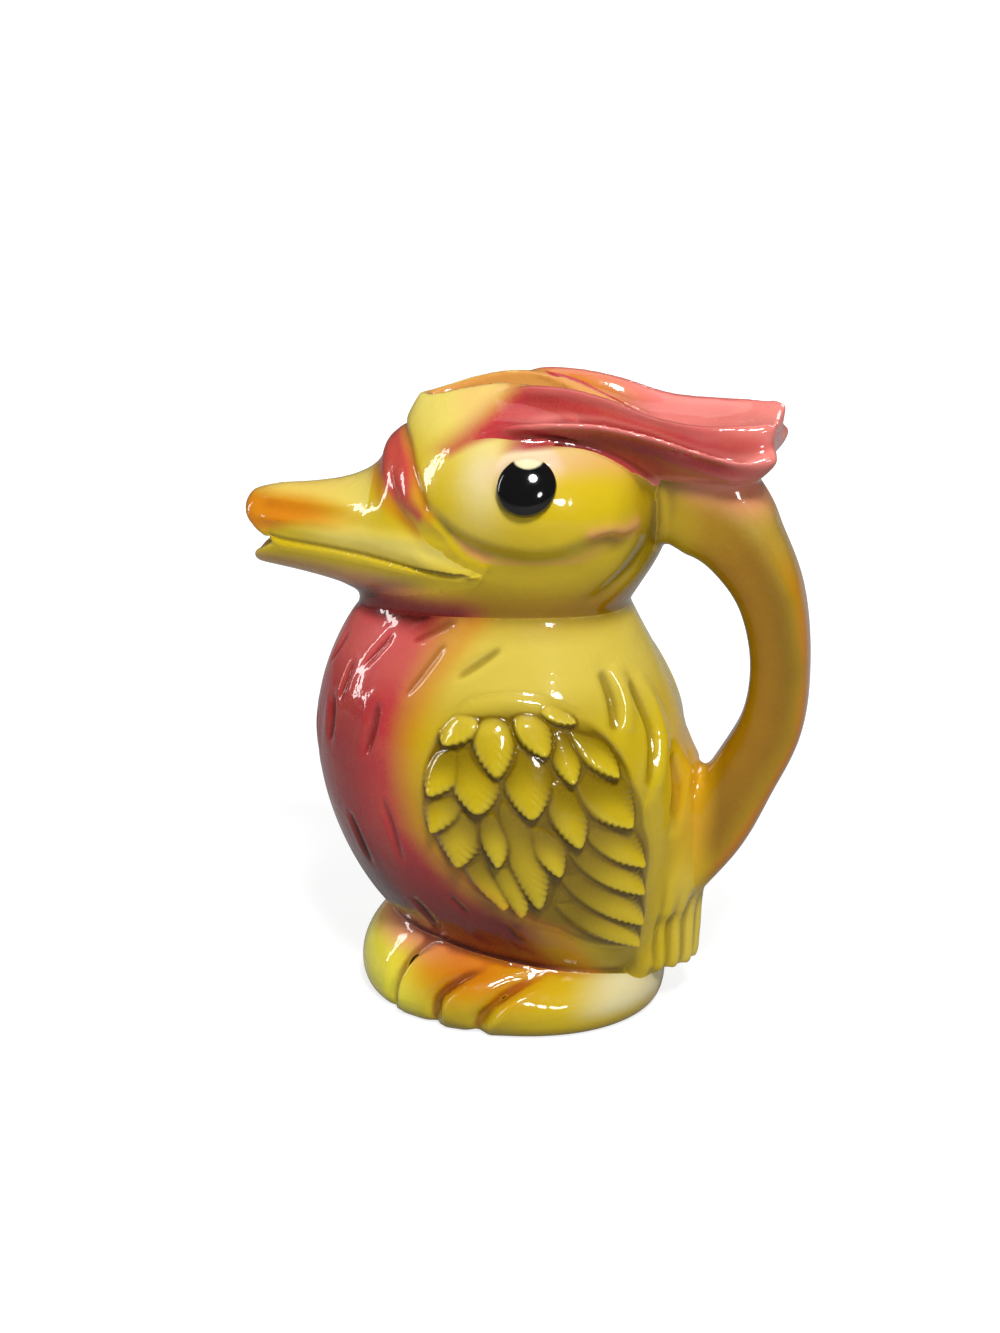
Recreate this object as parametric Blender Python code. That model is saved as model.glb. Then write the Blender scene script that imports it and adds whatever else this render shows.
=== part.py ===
"""Bird-shaped glazed pitcher: hollow clay castings and pressed pieces, stuck together with slip.

The bill points along -X, the handle is at +X, Z is up and the bird is mirrored about the XZ plane.
"""

import math

import bmesh
import bpy
from mathutils import Vector

# Clay wall and slip seams
WALL = 0.0040
SLIP_GAP = 0.0003
HALF_GAP = SLIP_GAP / 2

# Base plinth
PLINTH_FRONT = 0.0520
PLINTH_REAR = 0.0448
PLINTH_HALF_WIDTH = 0.0395
PLINTH_BULGE_HEIGHT = 0.0085
PLINTH_FULLNESS = 0.75
FOOT_TUCK = 0.0040
FOOT_RIM_WIDTH = 0.0080
FOOT_RECESS = 0.0015
FLOOR_THICKNESS = 0.0050

# Waist seam between plinth and body
WAIST_FRONT = 0.0412
WAIST_REAR = 0.0440
WAIST_HALF_WIDTH = 0.0265
WAIST_FRONT_HEIGHT = 0.0280
WAIST_REAR_HEIGHT = 0.0150

# Body
BREAST_REACH = 0.0650
BACK_REACH = 0.0512
BELLY_HALF_WIDTH = 0.0460
BREAST_HEIGHT = 0.0860
BACK_HEIGHT = 0.0750
BELLY_FULLNESS = 0.70
BREAST_SHOULDER_FULLNESS = 0.80
BACK_SHOULDER_FULLNESS = 1.12

# Neck seam between body and head
NECK_FRONT = 0.0510
NECK_REAR = 0.0313
NECK_HALF_WIDTH = 0.0290
NECK_FRONT_HEIGHT = 0.1260
NECK_REAR_HEIGHT = 0.1305
NECK_SIDE_LIFT = 0.0045

# Head
FACE_REACH = 0.0410
NAPE_REACH = 0.0440
CHEEK_HALF_WIDTH = 0.0350
CHEEK_HEIGHT = 0.1630
CHEEK_FULLNESS = 0.90
FACE_DISC_BULGE = 0.0025
FACE_DISC_RADIUS = 0.0210
EYEBALL_X = 0.0060
EYEBALL_HEIGHT = 0.1800
EYEBALL_HALF_LENGTH = 0.0330
EYEBALL_HALF_HEIGHT = 0.0260
CHEEK_HOLLOW_DEPTH = 0.0015
CHEEK_HOLLOW_DROP = 0.0054
CHEEK_HOLLOW_SPREAD = 0.0050
CHEEK_HOLLOW_FRONT = 0.0180
CHEEK_HOLLOW_REAR = 0.0340

# Filling mouth on top of the head
RIM_FRONT = 0.0317
RIM_REAR = 0.0360
RIM_HALF_WIDTH = 0.0108
RIM_FRONT_HEIGHT = 0.1915
RIM_REAR_HEIGHT = 0.1870
RIM_SIDE_LIFT = 0.0080
RIM_CROWN = 0.0008

# Eyes
EYE_X = 0.0076
EYE_HEIGHT = 0.1735
EYE_RADIUS = 0.0092
EYE_DOME = 0.0032
EYE_SEAT = 0.0020

# Bill, measured up and down from the mouth line. Stations of the upper half from tip to root:
# reach, rise of the crown, gape of the edge, half width
MOUTH_HEIGHT = 0.1455
UPPER_BILL = (
    (0.0862, 0.0103, 0.0083, 0.0040),
    (0.0845, 0.0129, 0.0057, 0.0078),
    (0.0805, 0.0143, 0.0025, 0.0102),
    (0.0755, 0.0154, 0.0005, 0.0120),
    (0.0660, 0.0164, 0.0000, 0.0140),
    (0.0560, 0.0183, 0.0000, 0.0172),
    (0.0480, 0.0218, 0.0000, 0.0200),
    (0.0420, 0.0273, 0.0000, 0.0225),
    (0.0370, 0.0335, 0.0000, 0.0245),
    (0.0300, 0.0285, 0.0000, 0.0275),
    (0.0220, 0.0155, 0.0000, 0.0312),
    (0.0100, 0.0085, 0.0000, 0.0342),
    (0.0010, 0.0045, 0.0000, 0.0316),
)
# The lower half: reach, drop of the keel, gape of the edge, half width
LOWER_BILL = (
    (0.0838, 0.0083, 0.0063, 0.0040),
    (0.0825, 0.0091, 0.0045, 0.0070),
    (0.0790, 0.0097, 0.0023, 0.0096),
    (0.0750, 0.0103, 0.0003, 0.0112),
    (0.0660, 0.0117, 0.0000, 0.0134),
    (0.0560, 0.0137, 0.0000, 0.0166),
    (0.0490, 0.0161, 0.0000, 0.0192),
    (0.0400, 0.0161, 0.0000, 0.0228),
    (0.0240, 0.0145, 0.0000, 0.0288),
    (0.0100, 0.0105, 0.0000, 0.0306),
    (0.0020, 0.0085, 0.0000, 0.0295),
)
BILL_FLAT_SHARE = 0.97
SPOUT_DROP = 0.0007
SPOUT_HALF_WIDTH = 0.0060
SPOUT_HALF_HEIGHT = 0.0042
SPOUT_REACHES = (0.0950, 0.0790, 0.0660, 0.0560, 0.0450, 0.0340, 0.0260)

# Crest, stations from the front of the locks to the tip:
# X, trough height, ridge half spacing, ridge height, lobe half width, lobe height, keel height
CREST = (
    (-0.0120, 0.1860, 0.0098, 0.1895, 0.0220, 0.1840, 0.1800),
    (-0.0060, 0.1890, 0.0108, 0.1940, 0.0250, 0.1866, 0.1790),
    (0.0020, 0.1915, 0.0112, 0.1976, 0.0266, 0.1888, 0.1780),
    (0.0140, 0.1900, 0.0114, 0.1976, 0.0264, 0.1900, 0.1740),
    (0.0260, 0.1872, 0.0124, 0.1954, 0.0250, 0.1898, 0.1700),
    (0.0400, 0.1850, 0.0142, 0.1912, 0.0240, 0.1872, 0.1680),
    (0.0540, 0.1836, 0.0164, 0.1898, 0.0228, 0.1832, 0.1685),
    (0.0640, 0.1850, 0.0150, 0.1902, 0.0218, 0.1808, 0.1705),
    (0.0710, 0.1880, 0.0132, 0.1912, 0.0196, 0.1806, 0.1728),
    (0.0742, 0.1880, 0.0112, 0.1902, 0.0166, 0.1818, 0.1762),
)
CREST_LOBE_REACH = 0.0018
CREST_NOTCH = 0.0020
CREST_UNDERCUT = 0.0030
CREST_TROUGH_SPREAD = 0.60
CREST_TROUGH_RISE = 0.35
CREST_RIDGE_SPREAD = 0.92
CREST_RIDGE_ROLL = 0.0006
CREST_RIDGE_HALF = 0.0012
CREST_RIDGE_EDGE = 0.0032
CREST_RIDGE_FALL = 0.0018
CREST_LOBE_SHOULDER = 0.0012
CREST_LOBE_RISE = 0.0034
CREST_LOBE_TUCK = 0.0016
CREST_LOBE_FALL = 0.0026
CREST_BELLY_SPREAD = 0.55
CREST_BELLY_RISE = 0.25
CREST_KEEL_SPREAD = 0.25
CREST_LIP_CLEARANCE = 0.0160

# Handle, stations from the crest down to the body: X, height, thickness in side view, half width
HANDLE = (
    (0.0400, 0.1660, 0.0250, 0.0115),
    (0.0566, 0.1606, 0.0305, 0.0118),
    (0.0668, 0.1490, 0.0234, 0.0108),
    (0.0742, 0.1345, 0.0196, 0.0098),
    (0.0774, 0.1150, 0.0176, 0.0094),
    (0.0756, 0.0955, 0.0188, 0.0096),
    (0.0676, 0.0778, 0.0204, 0.0102),
    (0.0582, 0.0612, 0.0230, 0.0112),
    (0.0450, 0.0450, 0.0240, 0.0120),
)

# Tail, stations from the top down: height, how far it stands out from the back, half width
TAIL = (
    (0.0500, 0.0044, 0.0110),
    (0.0450, 0.0060, 0.0135),
    (0.0340, 0.0048, 0.0170),
    (0.0230, 0.0041, 0.0190),
    (0.0165, 0.0038, 0.0196),
    (0.0148, 0.0026, 0.0186),
)
TAIL_ROOT_REACH = 0.0150
TAIL_RIDGES = 9
TAIL_RIDGE_HEIGHT = 0.0008

# Wings, stations from the low tip up: height, rear edge and front edge as angles round the body
WING = (
    (0.0280, 36, 48),
    (0.0375, 35, 70),
    (0.0470, 35, 88),
    (0.0565, 35, 102),
    (0.0700, 36, 108),
    (0.0860, 42, 110),
    (0.1000, 52, 107),
    (0.1080, 64, 99),
    (0.1115, 76, 90),
)
WING_EDGE = 0.0008
WING_RISE = 0.0004
FEATHER_RISE = 0.0030
FEATHER_ROOT_SHARE = 0.20
FEATHER_TAPER = 0.8
FEATHER_ROUNDNESS = 0.6

# Feathers, each a leaf from its root to its tip: angle and height, angle and height, half width
FEATHERS = (
    (97, 0.1093, 104, 0.0969, 0.0044),
    (92, 0.1098, 88, 0.0890, 0.0048),
    (82, 0.1107, 71, 0.0956, 0.0046),
    (76, 0.1118, 60, 0.1047, 0.0036),
    (100, 0.0964, 107, 0.0816, 0.0040),
    (97, 0.0981, 92, 0.0778, 0.0054),
    (81, 0.0984, 76, 0.0770, 0.0058),
    (68, 0.1028, 63, 0.0870, 0.0038),
    (63, 0.1036, 47, 0.0877, 0.0042),
    (101, 0.0857, 107, 0.0699, 0.0038),
    (100, 0.0801, 99, 0.0597, 0.0046),
    (90, 0.0791, 87, 0.0612, 0.0036),
    (86, 0.0834, 73, 0.0465, 0.0050),
    (71, 0.0890, 60, 0.0674, 0.0046),
    (62, 0.0902, 41, 0.0723, 0.0060),
    (61, 0.0753, 35, 0.0584, 0.0049),
    (65, 0.0671, 34, 0.0488, 0.0049),
    (67, 0.0583, 33, 0.0378, 0.0052),
    (69, 0.0482, 33, 0.0298, 0.0047),
    (90, 0.0715, 79, 0.0433, 0.0042),
    (77, 0.0751, 67, 0.0588, 0.0038),
    (98, 0.0647, 85, 0.0467, 0.0038),
)

# Toe grooves on one side of the plinth, points from the ground up
TOE_GROOVES = (
    (
        (-0.0350, -0.0282, 0.0040),
        (-0.0335, -0.0291, 0.0141),
        (-0.0296, -0.0272, 0.0199),
        (-0.0230, -0.0254, 0.0234),
    ),
    (
        (-0.0200, -0.0352, 0.0030),
        (-0.0190, -0.0367, 0.0103),
        (-0.0140, -0.0358, 0.0152),
        (-0.0060, -0.0328, 0.0188),
    ),
    (
        (-0.0056, -0.0366, 0.0020),
        (-0.0029, -0.0397, 0.0086),
        (0.0026, -0.0370, 0.0145),
        (0.0110, -0.0318, 0.0172),
    ),
)
TOE_GROOVE_RADIUS = 0.0021
TOE_GROOVE_TAPER = 0.55

# Mesh fineness
BODY_SIDES = 40
BODY_RINGS = 14
HEAD_SIDES = 40
HEAD_RINGS = 13
INSIDE_RINGS = 8
PLINTH_SIDES = 48
PLINTH_RINGS = 6
PLINTH_INSIDE_RINGS = 3
BILL_SIDES = 28
SPOUT_SIDES = 20
EYE_SIDES = 20
EYE_RINGS = 4
HANDLE_SIDES = 18
HANDLE_STEPS = 3
CREST_STEPS = 2
TAIL_SIDES = 60
WING_ROWS = 26
WING_COLUMNS = 19
WING_EDGE_STEPS = 4
GROOVE_SIDES = 8
GROOVE_STEPS = 2
SLOPE_ANGLE = 0.02
SLOPE_HEIGHT = 0.001


def egg(front, rear, half, angle):
    """A point of an egg-shaped ring that is round at both ends."""
    reach = rear if math.cos(angle) > 0 else front
    return Vector((reach * math.cos(angle), half * math.sin(angle), 0))


def ring_angles(sides):
    return [2 * math.pi * i / sides for i in range(sides)]


def waist_height(angle):
    middle = (WAIST_FRONT_HEIGHT + WAIST_REAR_HEIGHT) / 2
    return middle + (WAIST_REAR_HEIGHT - middle) * math.cos(angle)


def neck_height(angle):
    middle = (NECK_FRONT_HEIGHT + NECK_REAR_HEIGHT) / 2
    level = middle + (NECK_REAR_HEIGHT - middle) * math.cos(angle)
    return level + NECK_SIDE_LIFT * math.sin(angle) ** 2


def rim_height(angle):
    middle = (RIM_FRONT_HEIGHT + RIM_REAR_HEIGHT) / 2
    level = middle + (RIM_REAR_HEIGHT - middle) * math.cos(angle)
    return level + RIM_SIDE_LIFT * abs(math.sin(angle)) ** 3


def swell(end, full, share, fullness):
    """Share 0 is the fullest ring and share 1 is the ring at the end."""
    return end.lerp(full, math.cos(share * math.pi / 2) ** fullness)


def body_point(angle, height, inset=0.0):
    waist = egg(WAIST_FRONT - inset, WAIST_REAR - inset, WAIST_HALF_WIDTH - inset, angle)
    belly = egg(BREAST_REACH - inset, BACK_REACH - inset, BELLY_HALF_WIDTH - inset, angle)
    neck = egg(NECK_FRONT - inset, NECK_REAR - inset, NECK_HALF_WIDTH - inset, angle)
    middle = (BREAST_HEIGHT + BACK_HEIGHT) / 2
    full = middle + (BACK_HEIGHT - middle) * math.cos(angle)
    if height < full:
        share = min((full - height) / (full - waist_height(angle)), 1)
        point = swell(waist, belly, share, BELLY_FULLNESS)
    else:
        share = min((height - full) / (neck_height(angle) - full), 1)
        middle = (BREAST_SHOULDER_FULLNESS + BACK_SHOULDER_FULLNESS) / 2
        fullness = middle + (BACK_SHOULDER_FULLNESS - middle) * math.cos(angle)
        point = swell(neck, belly, share, fullness)
    return Vector((point.x, point.y, height))


def plinth_point(angle, height, inset=0.0):
    waist = egg(WAIST_FRONT - inset, WAIST_REAR - inset, WAIST_HALF_WIDTH - inset, angle)
    bulge = egg(PLINTH_FRONT - inset, PLINTH_REAR - inset, PLINTH_HALF_WIDTH - inset, angle)
    share = (height - PLINTH_BULGE_HEIGHT) / (waist_height(angle) - PLINTH_BULGE_HEIGHT)
    point = swell(waist, bulge, max(share, 0), PLINTH_FULLNESS)
    return Vector((point.x, point.y, height))


def head_point(angle, height, inset=0.0):
    neck = egg(NECK_FRONT - inset, NECK_REAR - inset, NECK_HALF_WIDTH - inset, angle)
    cheek = egg(FACE_REACH - inset, NAPE_REACH - inset, CHEEK_HALF_WIDTH - inset, angle)
    rim = egg(RIM_FRONT - inset, RIM_REAR - inset, RIM_HALF_WIDTH - inset, angle)
    if height < CHEEK_HEIGHT:
        share = min((CHEEK_HEIGHT - height) / (CHEEK_HEIGHT - neck_height(angle)), 1)
        point = swell(neck, cheek, share, 1)
    else:
        share = min((height - CHEEK_HEIGHT) / (rim_height(angle) - CHEEK_HEIGHT), 1)
        point = swell(rim, cheek, share, CHEEK_FULLNESS)
    away = math.hypot(point.x - EYE_X, height - EYE_HEIGHT) / FACE_DISC_RADIUS
    bulge = FACE_DISC_BULGE * math.exp(-away * away)
    below = EYEBALL_HEIGHT - height
    reach = math.hypot((point.x - EYEBALL_X) / EYEBALL_HALF_LENGTH, below / EYEBALL_HALF_HEIGHT)
    drop = ((reach - 1) * EYEBALL_HALF_HEIGHT - CHEEK_HOLLOW_DROP) / CHEEK_HOLLOW_SPREAD
    if below > 0 and -CHEEK_HOLLOW_FRONT < point.x < CHEEK_HOLLOW_REAR:
        middle = (CHEEK_HOLLOW_REAR - CHEEK_HOLLOW_FRONT) / 2
        off_middle = (point.x - middle) / (CHEEK_HOLLOW_REAR - middle)
        bulge -= CHEEK_HOLLOW_DEPTH * (1 - off_middle**4) * math.exp(-drop * drop)
    return Vector((point.x, point.y + math.sin(angle) * bulge, height))


def facing(shape, angle, height):
    """The direction square to a shape's surface, and the level direction along it."""
    along = shape(angle + SLOPE_ANGLE, height) - shape(angle - SLOPE_ANGLE, height)
    upward = shape(angle, height + SLOPE_HEIGHT) - shape(angle, height - SLOPE_HEIGHT)
    return along.cross(upward).normalized(), along.normalized()


def level(height):
    return lambda angle: height


def shifted(seam, by):
    return lambda angle: seam(angle) + by


def rings_between(shape, sides, low, high, steps, inset=0.0):
    """Rings of a shape from one seam to the next, each seam being a height for every angle."""
    rings = []
    for step in range(steps + 1):
        ring = []
        for angle in ring_angles(sides):
            height = low(angle) + (high(angle) - low(angle)) * step / steps
            ring.append(shape(angle, height, inset))
        rings.append(ring)
    return rings


def collection_named(name):
    collection = bpy.data.collections.new(name)
    bpy.context.scene.collection.children.link(collection)
    return collection


def glaze(name, colour):
    material = bpy.data.materials.new(name)
    material.use_nodes = True
    shader = material.node_tree.nodes["Principled BSDF"]
    shader.inputs["Base Color"].default_value = (*colour, 1)
    shader.inputs["Roughness"].default_value = 0.15
    return material


def loft(name, rings, wrapped=False):
    """A solid through rings of points, closed by flat ends, or onto its first ring as a hollow wall."""
    work = bmesh.new()
    loops = [[work.verts.new(point) for point in ring] for ring in rings]
    pairs = list(zip(loops, loops[1:]))
    if wrapped:
        pairs.append((loops[-1], loops[0]))
    else:
        work.faces.new(reversed(loops[0]))
        work.faces.new(loops[-1])
    for low, high in pairs:
        for i in range(len(low)):
            j = (i + 1) % len(low)
            work.faces.new((low[i], low[j], high[j], high[i]))
    bmesh.ops.recalc_face_normals(work, faces=work.faces)
    mesh = bpy.data.meshes.new(name)
    work.to_mesh(mesh)
    work.free()
    return bpy.data.objects.new(name, mesh)


def as_piece(obj, material):
    PIECES.objects.link(obj)
    obj.data.materials.append(material)
    return obj


def as_cutter(obj, growth=0.0):
    CUTTERS.objects.link(obj)
    obj.hide_render = True
    obj.display_type = "WIRE"
    if growth:
        grow = obj.modifiers.new("slip gap", "DISPLACE")
        grow.mid_level = 0
        grow.strength = growth
    return obj


def cut(obj, *cutters):
    """Takes all the cutters away from a piece at once."""
    group = bpy.data.collections.new(obj.name + " cutters")
    for cutter in cutters:
        group.objects.link(cutter)
    difference = obj.modifiers.new("cut", "BOOLEAN")
    difference.operation = "DIFFERENCE"
    difference.solver = "EXACT"
    difference.operand_type = "COLLECTION"
    difference.collection = group


def smooth_path(points, steps):
    """Points of a smooth curve through the given ones, several to each span."""
    path = []
    for i in range(len(points) - 1):
        before = points[max(i - 1, 0)]
        after = points[min(i + 2, len(points) - 1)]
        for step in range(steps):
            t = step / steps
            first = (points[i + 1] - before) / 2
            second = (after - points[i]) / 2
            path.append(
                points[i] * (2 * t**3 - 3 * t**2 + 1)
                + first * (t**3 - 2 * t**2 + t)
                + points[i + 1] * (3 * t**2 - 2 * t**3)
                + second * (t**3 - t**2)
            )
    path.append(points[-1])
    return path


def tube(name, points, radii, sides):
    """A round rod along points, with a radius at each."""
    rings = []
    for i, (point, radius) in enumerate(zip(points, radii)):
        ahead = points[min(i + 1, len(points) - 1)] - points[max(i - 1, 0)]
        across = ahead.cross(Vector((0, 0, 1))).normalized()
        over = across.cross(ahead).normalized()
        rings.append(
            [
                point + across * radius * math.cos(angle) + over * radius * math.sin(angle)
                for angle in ring_angles(sides)
            ]
        )
    return loft(name, rings)


def feather_relief(angle, height):
    """How far the feathers stand out at a place on the wing: each rises from its root to its tip."""
    here = Vector((math.radians(angle) * BELLY_HALF_WIDTH, height))
    most = 0.0
    for root_angle, root_height, tip_angle, tip_height, half in FEATHERS:
        root = Vector((math.radians(root_angle) * BELLY_HALF_WIDTH, root_height))
        shaft = Vector((math.radians(tip_angle) * BELLY_HALF_WIDTH, tip_height)) - root
        along = (here - root).dot(shaft) / shaft.length_squared
        off = abs((here - root).cross(shaft)) / shaft.length / half
        if 0 < along < 1 and off < 1:
            width = math.sin(math.pi * along**FEATHER_TAPER) ** FEATHER_ROUNDNESS
            rise = FEATHER_ROOT_SHARE + (1 - FEATHER_ROOT_SHARE) * along
            most = max(most, rise * max(1 - (off / width) ** 4, 0))
    return most


def wing_point(side, angle, height, lift):
    """A point that stands off the body, square to it."""
    at = math.radians(angle)
    point = body_point(at, height) + facing(body_point, at, height)[0] * lift
    return Vector((point.x, side * point.y, point.z))


def bill_rings(stations, way):
    """Half-round rings with the flat side on the mouth line; way is 1 above it and -1 below it."""
    rings = []
    for reach, crown, gape, half in stations:
        ring = []
        for i, angle in enumerate(ring_angles(BILL_SIDES)):
            away = HALF_GAP + gape
            across = half * math.cos(angle)
            if 0 < i < BILL_SIDES // 2:
                away += (crown - gape) * math.sin(angle)
            else:
                across *= BILL_FLAT_SHARE
            ring.append(Vector((-reach, across, MOUTH_HEIGHT + way * away)))
        rings.append(ring)
    return rings


def bill_at(stations, reach):
    """The crown and the half width of a bill piece at a reach, both nothing beyond its tip."""
    for near, far in zip(stations, stations[1:]):
        if far[0] <= reach <= near[0]:
            here = Vector(near).lerp(Vector(far), (near[0] - reach) / (near[0] - far[0]))
            return here[1], here[3]
    return 0.0, 0.0


for old in list(bpy.data.objects):
    bpy.data.objects.remove(old)
PIECES = collection_named("toucan pitcher")
CUTTERS = collection_named("cutters")
YELLOW = glaze("yellow glaze", (0.80, 0.62, 0.10))
ROSE = glaze("rose glaze", (0.70, 0.12, 0.16))
ORANGE = glaze("orange glaze", (0.85, 0.42, 0.06))
GOLD = glaze("gold glaze", (0.72, 0.45, 0.06))
BLACK = glaze("black glaze", (0.01, 0.01, 0.01))

# Base plinth, from the recess under the floor, round the outside and down into the hollow
foot = [
    egg(PLINTH_FRONT - FOOT_TUCK, PLINTH_REAR - FOOT_TUCK, PLINTH_HALF_WIDTH - FOOT_TUCK, angle)
    for angle in ring_angles(PLINTH_SIDES)
]
recess = [point - point.normalized() * FOOT_RIM_WIDTH for point in foot]
plinth_top = shifted(waist_height, -HALF_GAP)
plinth_outside = rings_between(
    plinth_point, PLINTH_SIDES, level(PLINTH_BULGE_HEIGHT), plinth_top, PLINTH_RINGS
)
plinth_inside = rings_between(
    plinth_point, PLINTH_SIDES, level(FLOOR_THICKNESS), plinth_top, PLINTH_INSIDE_RINGS, WALL
)
base_plinth = as_piece(
    loft(
        "base_plinth",
        [[point + Vector((0, 0, FOOT_RECESS)) for point in recess]]
        + [recess, foot]
        + plinth_outside
        + plinth_inside[::-1],
    ),
    ORANGE,
)
plinth_form = as_cutter(loft("plinth form", [foot] + plinth_outside), SLIP_GAP)

grooves = []
for side in (-1, 1):
    for number, groove in enumerate(TOE_GROOVES):
        points = smooth_path([Vector((x, -side * y, z)) for x, y, z in groove], GROOVE_STEPS)
        last = len(points) - 1
        radii = [TOE_GROOVE_RADIUS * (1 - TOE_GROOVE_TAPER * i / last) for i in range(last + 1)]
        grooves.append(as_cutter(tube(f"toe groove {side} {number}", points, radii, GROOVE_SIDES)))
cut(base_plinth, *grooves)

# Body, a hollow wall between the waist and the neck
body_low = shifted(waist_height, HALF_GAP)
body_high = shifted(neck_height, -HALF_GAP)
body_outside = rings_between(body_point, BODY_SIDES, body_low, body_high, BODY_RINGS)
body_inside = rings_between(body_point, BODY_SIDES, body_low, body_high, INSIDE_RINGS, WALL)
body_shell = as_piece(loft("body_shell", body_outside + body_inside[::-1], True), YELLOW)
body_form = as_cutter(loft("body form", body_outside), SLIP_GAP)

# Wings, pressed relief on the sides of the body
edges = smooth_path([Vector(station) for station in WING], WING_EDGE_STEPS)
for name, side in (("wing_left", -1), ("wing_right", 1)):
    rows = []
    for row in range(WING_ROWS + 1):
        place = row / WING_ROWS * (len(edges) - 1)
        first = min(int(place), len(edges) - 2)
        height, rear, front = edges[first].lerp(edges[first + 1], place - first)
        over = []
        under = []
        for column in range(WING_COLUMNS + 1):
            angle = rear + (front - rear) * column / WING_COLUMNS
            off_centre = max(abs(2 * row / WING_ROWS - 1), abs(2 * column / WING_COLUMNS - 1))
            rise = WING_RISE + FEATHER_RISE * feather_relief(angle, height)
            over.append(wing_point(side, angle, height, WING_EDGE + (1 - off_centre**5) * rise))
            under.append(wing_point(side, angle, height, SLIP_GAP))
        rows.append(over + under[::-1])
    as_piece(loft(name, rows), YELLOW)

# Head, a hollow wall between the neck and the rim of the filling mouth
head_low = shifted(neck_height, HALF_GAP)
head_outside = rings_between(head_point, HEAD_SIDES, head_low, rim_height, HEAD_RINGS)
head_inside = rings_between(head_point, HEAD_SIDES, head_low, rim_height, INSIDE_RINGS, WALL)
rim_crown = [
    (outer + inner) / 2 + Vector((0, 0, RIM_CROWN))
    for outer, inner in zip(head_outside[-1], head_inside[-1])
]
head_shell = as_piece(
    loft("head_shell", head_outside + [rim_crown] + head_inside[::-1], True), YELLOW
)
rim_lifted = [point + Vector((0, 0, CREST_LIP_CLEARANCE)) for point in head_outside[-1]]
head_form = as_cutter(loft("head form", head_outside + [rim_lifted]), SLIP_GAP)

# Bill, two half-round pieces round one pouring channel
upper_bill = as_piece(loft("upper_bill", bill_rings(UPPER_BILL, 1)), ORANGE)
lower_bill = as_piece(loft("lower_bill", bill_rings(LOWER_BILL, -1)), YELLOW)
spout_height = MOUTH_HEIGHT - SPOUT_DROP
channel = []
for reach in SPOUT_REACHES:
    rise, upper_half = bill_at(UPPER_BILL, reach)
    drop, lower_half = bill_at(LOWER_BILL, reach)
    top = max(MOUTH_HEIGHT + rise - WALL, spout_height + SPOUT_HALF_HEIGHT)
    bottom = min(MOUTH_HEIGHT - drop + WALL, spout_height - SPOUT_HALF_HEIGHT)
    half = max(upper_half - 2 * WALL, SPOUT_HALF_WIDTH)
    ring = []
    for angle in ring_angles(SPOUT_SIDES):
        height = (top + bottom) / 2 + (top - bottom) / 2 * math.sin(angle)
        ring.append(Vector((-reach, half * math.cos(angle), height)))
    channel.append(ring)
pour_channel = as_cutter(loft("pour channel", channel))
cut(upper_bill, head_form, pour_channel)
cut(lower_bill, head_form, body_form, pour_channel)

# Eyes, domes with a round seat in a socket of the head
sockets = []
for name, side in (("eye_left", -1), ("eye_right", 1)):
    angle = side * math.acos(EYE_X / NAPE_REACH)
    centre = head_point(angle, EYE_HEIGHT)
    axis, across = facing(head_point, angle, EYE_HEIGHT)
    over = axis.cross(across)
    round_eye = [across * math.cos(turn) + over * math.sin(turn) for turn in ring_angles(EYE_SIDES)]
    rings = [[centre + spoke * EYE_RADIUS - axis * EYE_SEAT for spoke in round_eye]]
    for step in range(EYE_RINGS):
        lean = step / EYE_RINGS * math.pi / 2
        radius = EYE_RADIUS * math.cos(lean)
        height = EYE_DOME * math.sin(lean)
        rings.append([centre + spoke * radius + axis * height for spoke in round_eye])
    as_piece(loft(name, rings), BLACK)
    socket = [
        [centre + spoke * (EYE_RADIUS + SLIP_GAP) + axis * height for spoke in round_eye]
        for height in (-EYE_SEAT - SLIP_GAP, EYE_DOME + WALL)
    ]
    sockets.append(as_cutter(loft(name + " socket", socket)))
cut(head_shell, pour_channel, *sockets)

# Crest, two locks that close behind the filling mouth into a trough
crest_rings = []
for x, trough, spacing, ridge, lobe, lobe_height, keel in CREST:
    side = (
        (0.0, trough),
        (spacing * CREST_TROUGH_SPREAD, trough + (ridge - trough) * CREST_TROUGH_RISE),
        (spacing * CREST_RIDGE_SPREAD, ridge - CREST_RIDGE_ROLL),
        (spacing + CREST_RIDGE_HALF, ridge),
        (spacing + CREST_RIDGE_EDGE, ridge - CREST_RIDGE_FALL),
        (lobe - CREST_LOBE_SHOULDER, lobe_height + CREST_LOBE_RISE),
        (lobe, lobe_height),
        (lobe - CREST_LOBE_TUCK, lobe_height - CREST_LOBE_FALL),
        (lobe * CREST_BELLY_SPREAD, keel + (lobe_height - keel) * CREST_BELLY_RISE),
        (lobe * CREST_KEEL_SPREAD, keel),
    )
    ring = [Vector((x, y, z)) for y, z in side]
    ring += [Vector((x, -y, z)) for y, z in reversed(side[1:])]
    crest_rings.append(ring)
tip = crest_rings[-1]
for side in (tip, tip[:1] + tip[:0:-1]):
    for index, shift in ((4, -CREST_NOTCH), (5, CREST_LOBE_REACH / 2), (6, CREST_LOBE_REACH)):
        side[index].x += shift
    for index in (8, 9):
        side[index].x -= CREST_UNDERCUT
crest_columns = [smooth_path(list(column), CREST_STEPS) for column in zip(*crest_rings)]
crest_lofted = [list(ring) for ring in zip(*crest_columns)]
crest = as_piece(loft("crest", crest_lofted), ROSE)
crest_form = as_cutter(loft("crest form", crest_lofted), SLIP_GAP)
cut(crest, head_form, *sockets)

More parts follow.
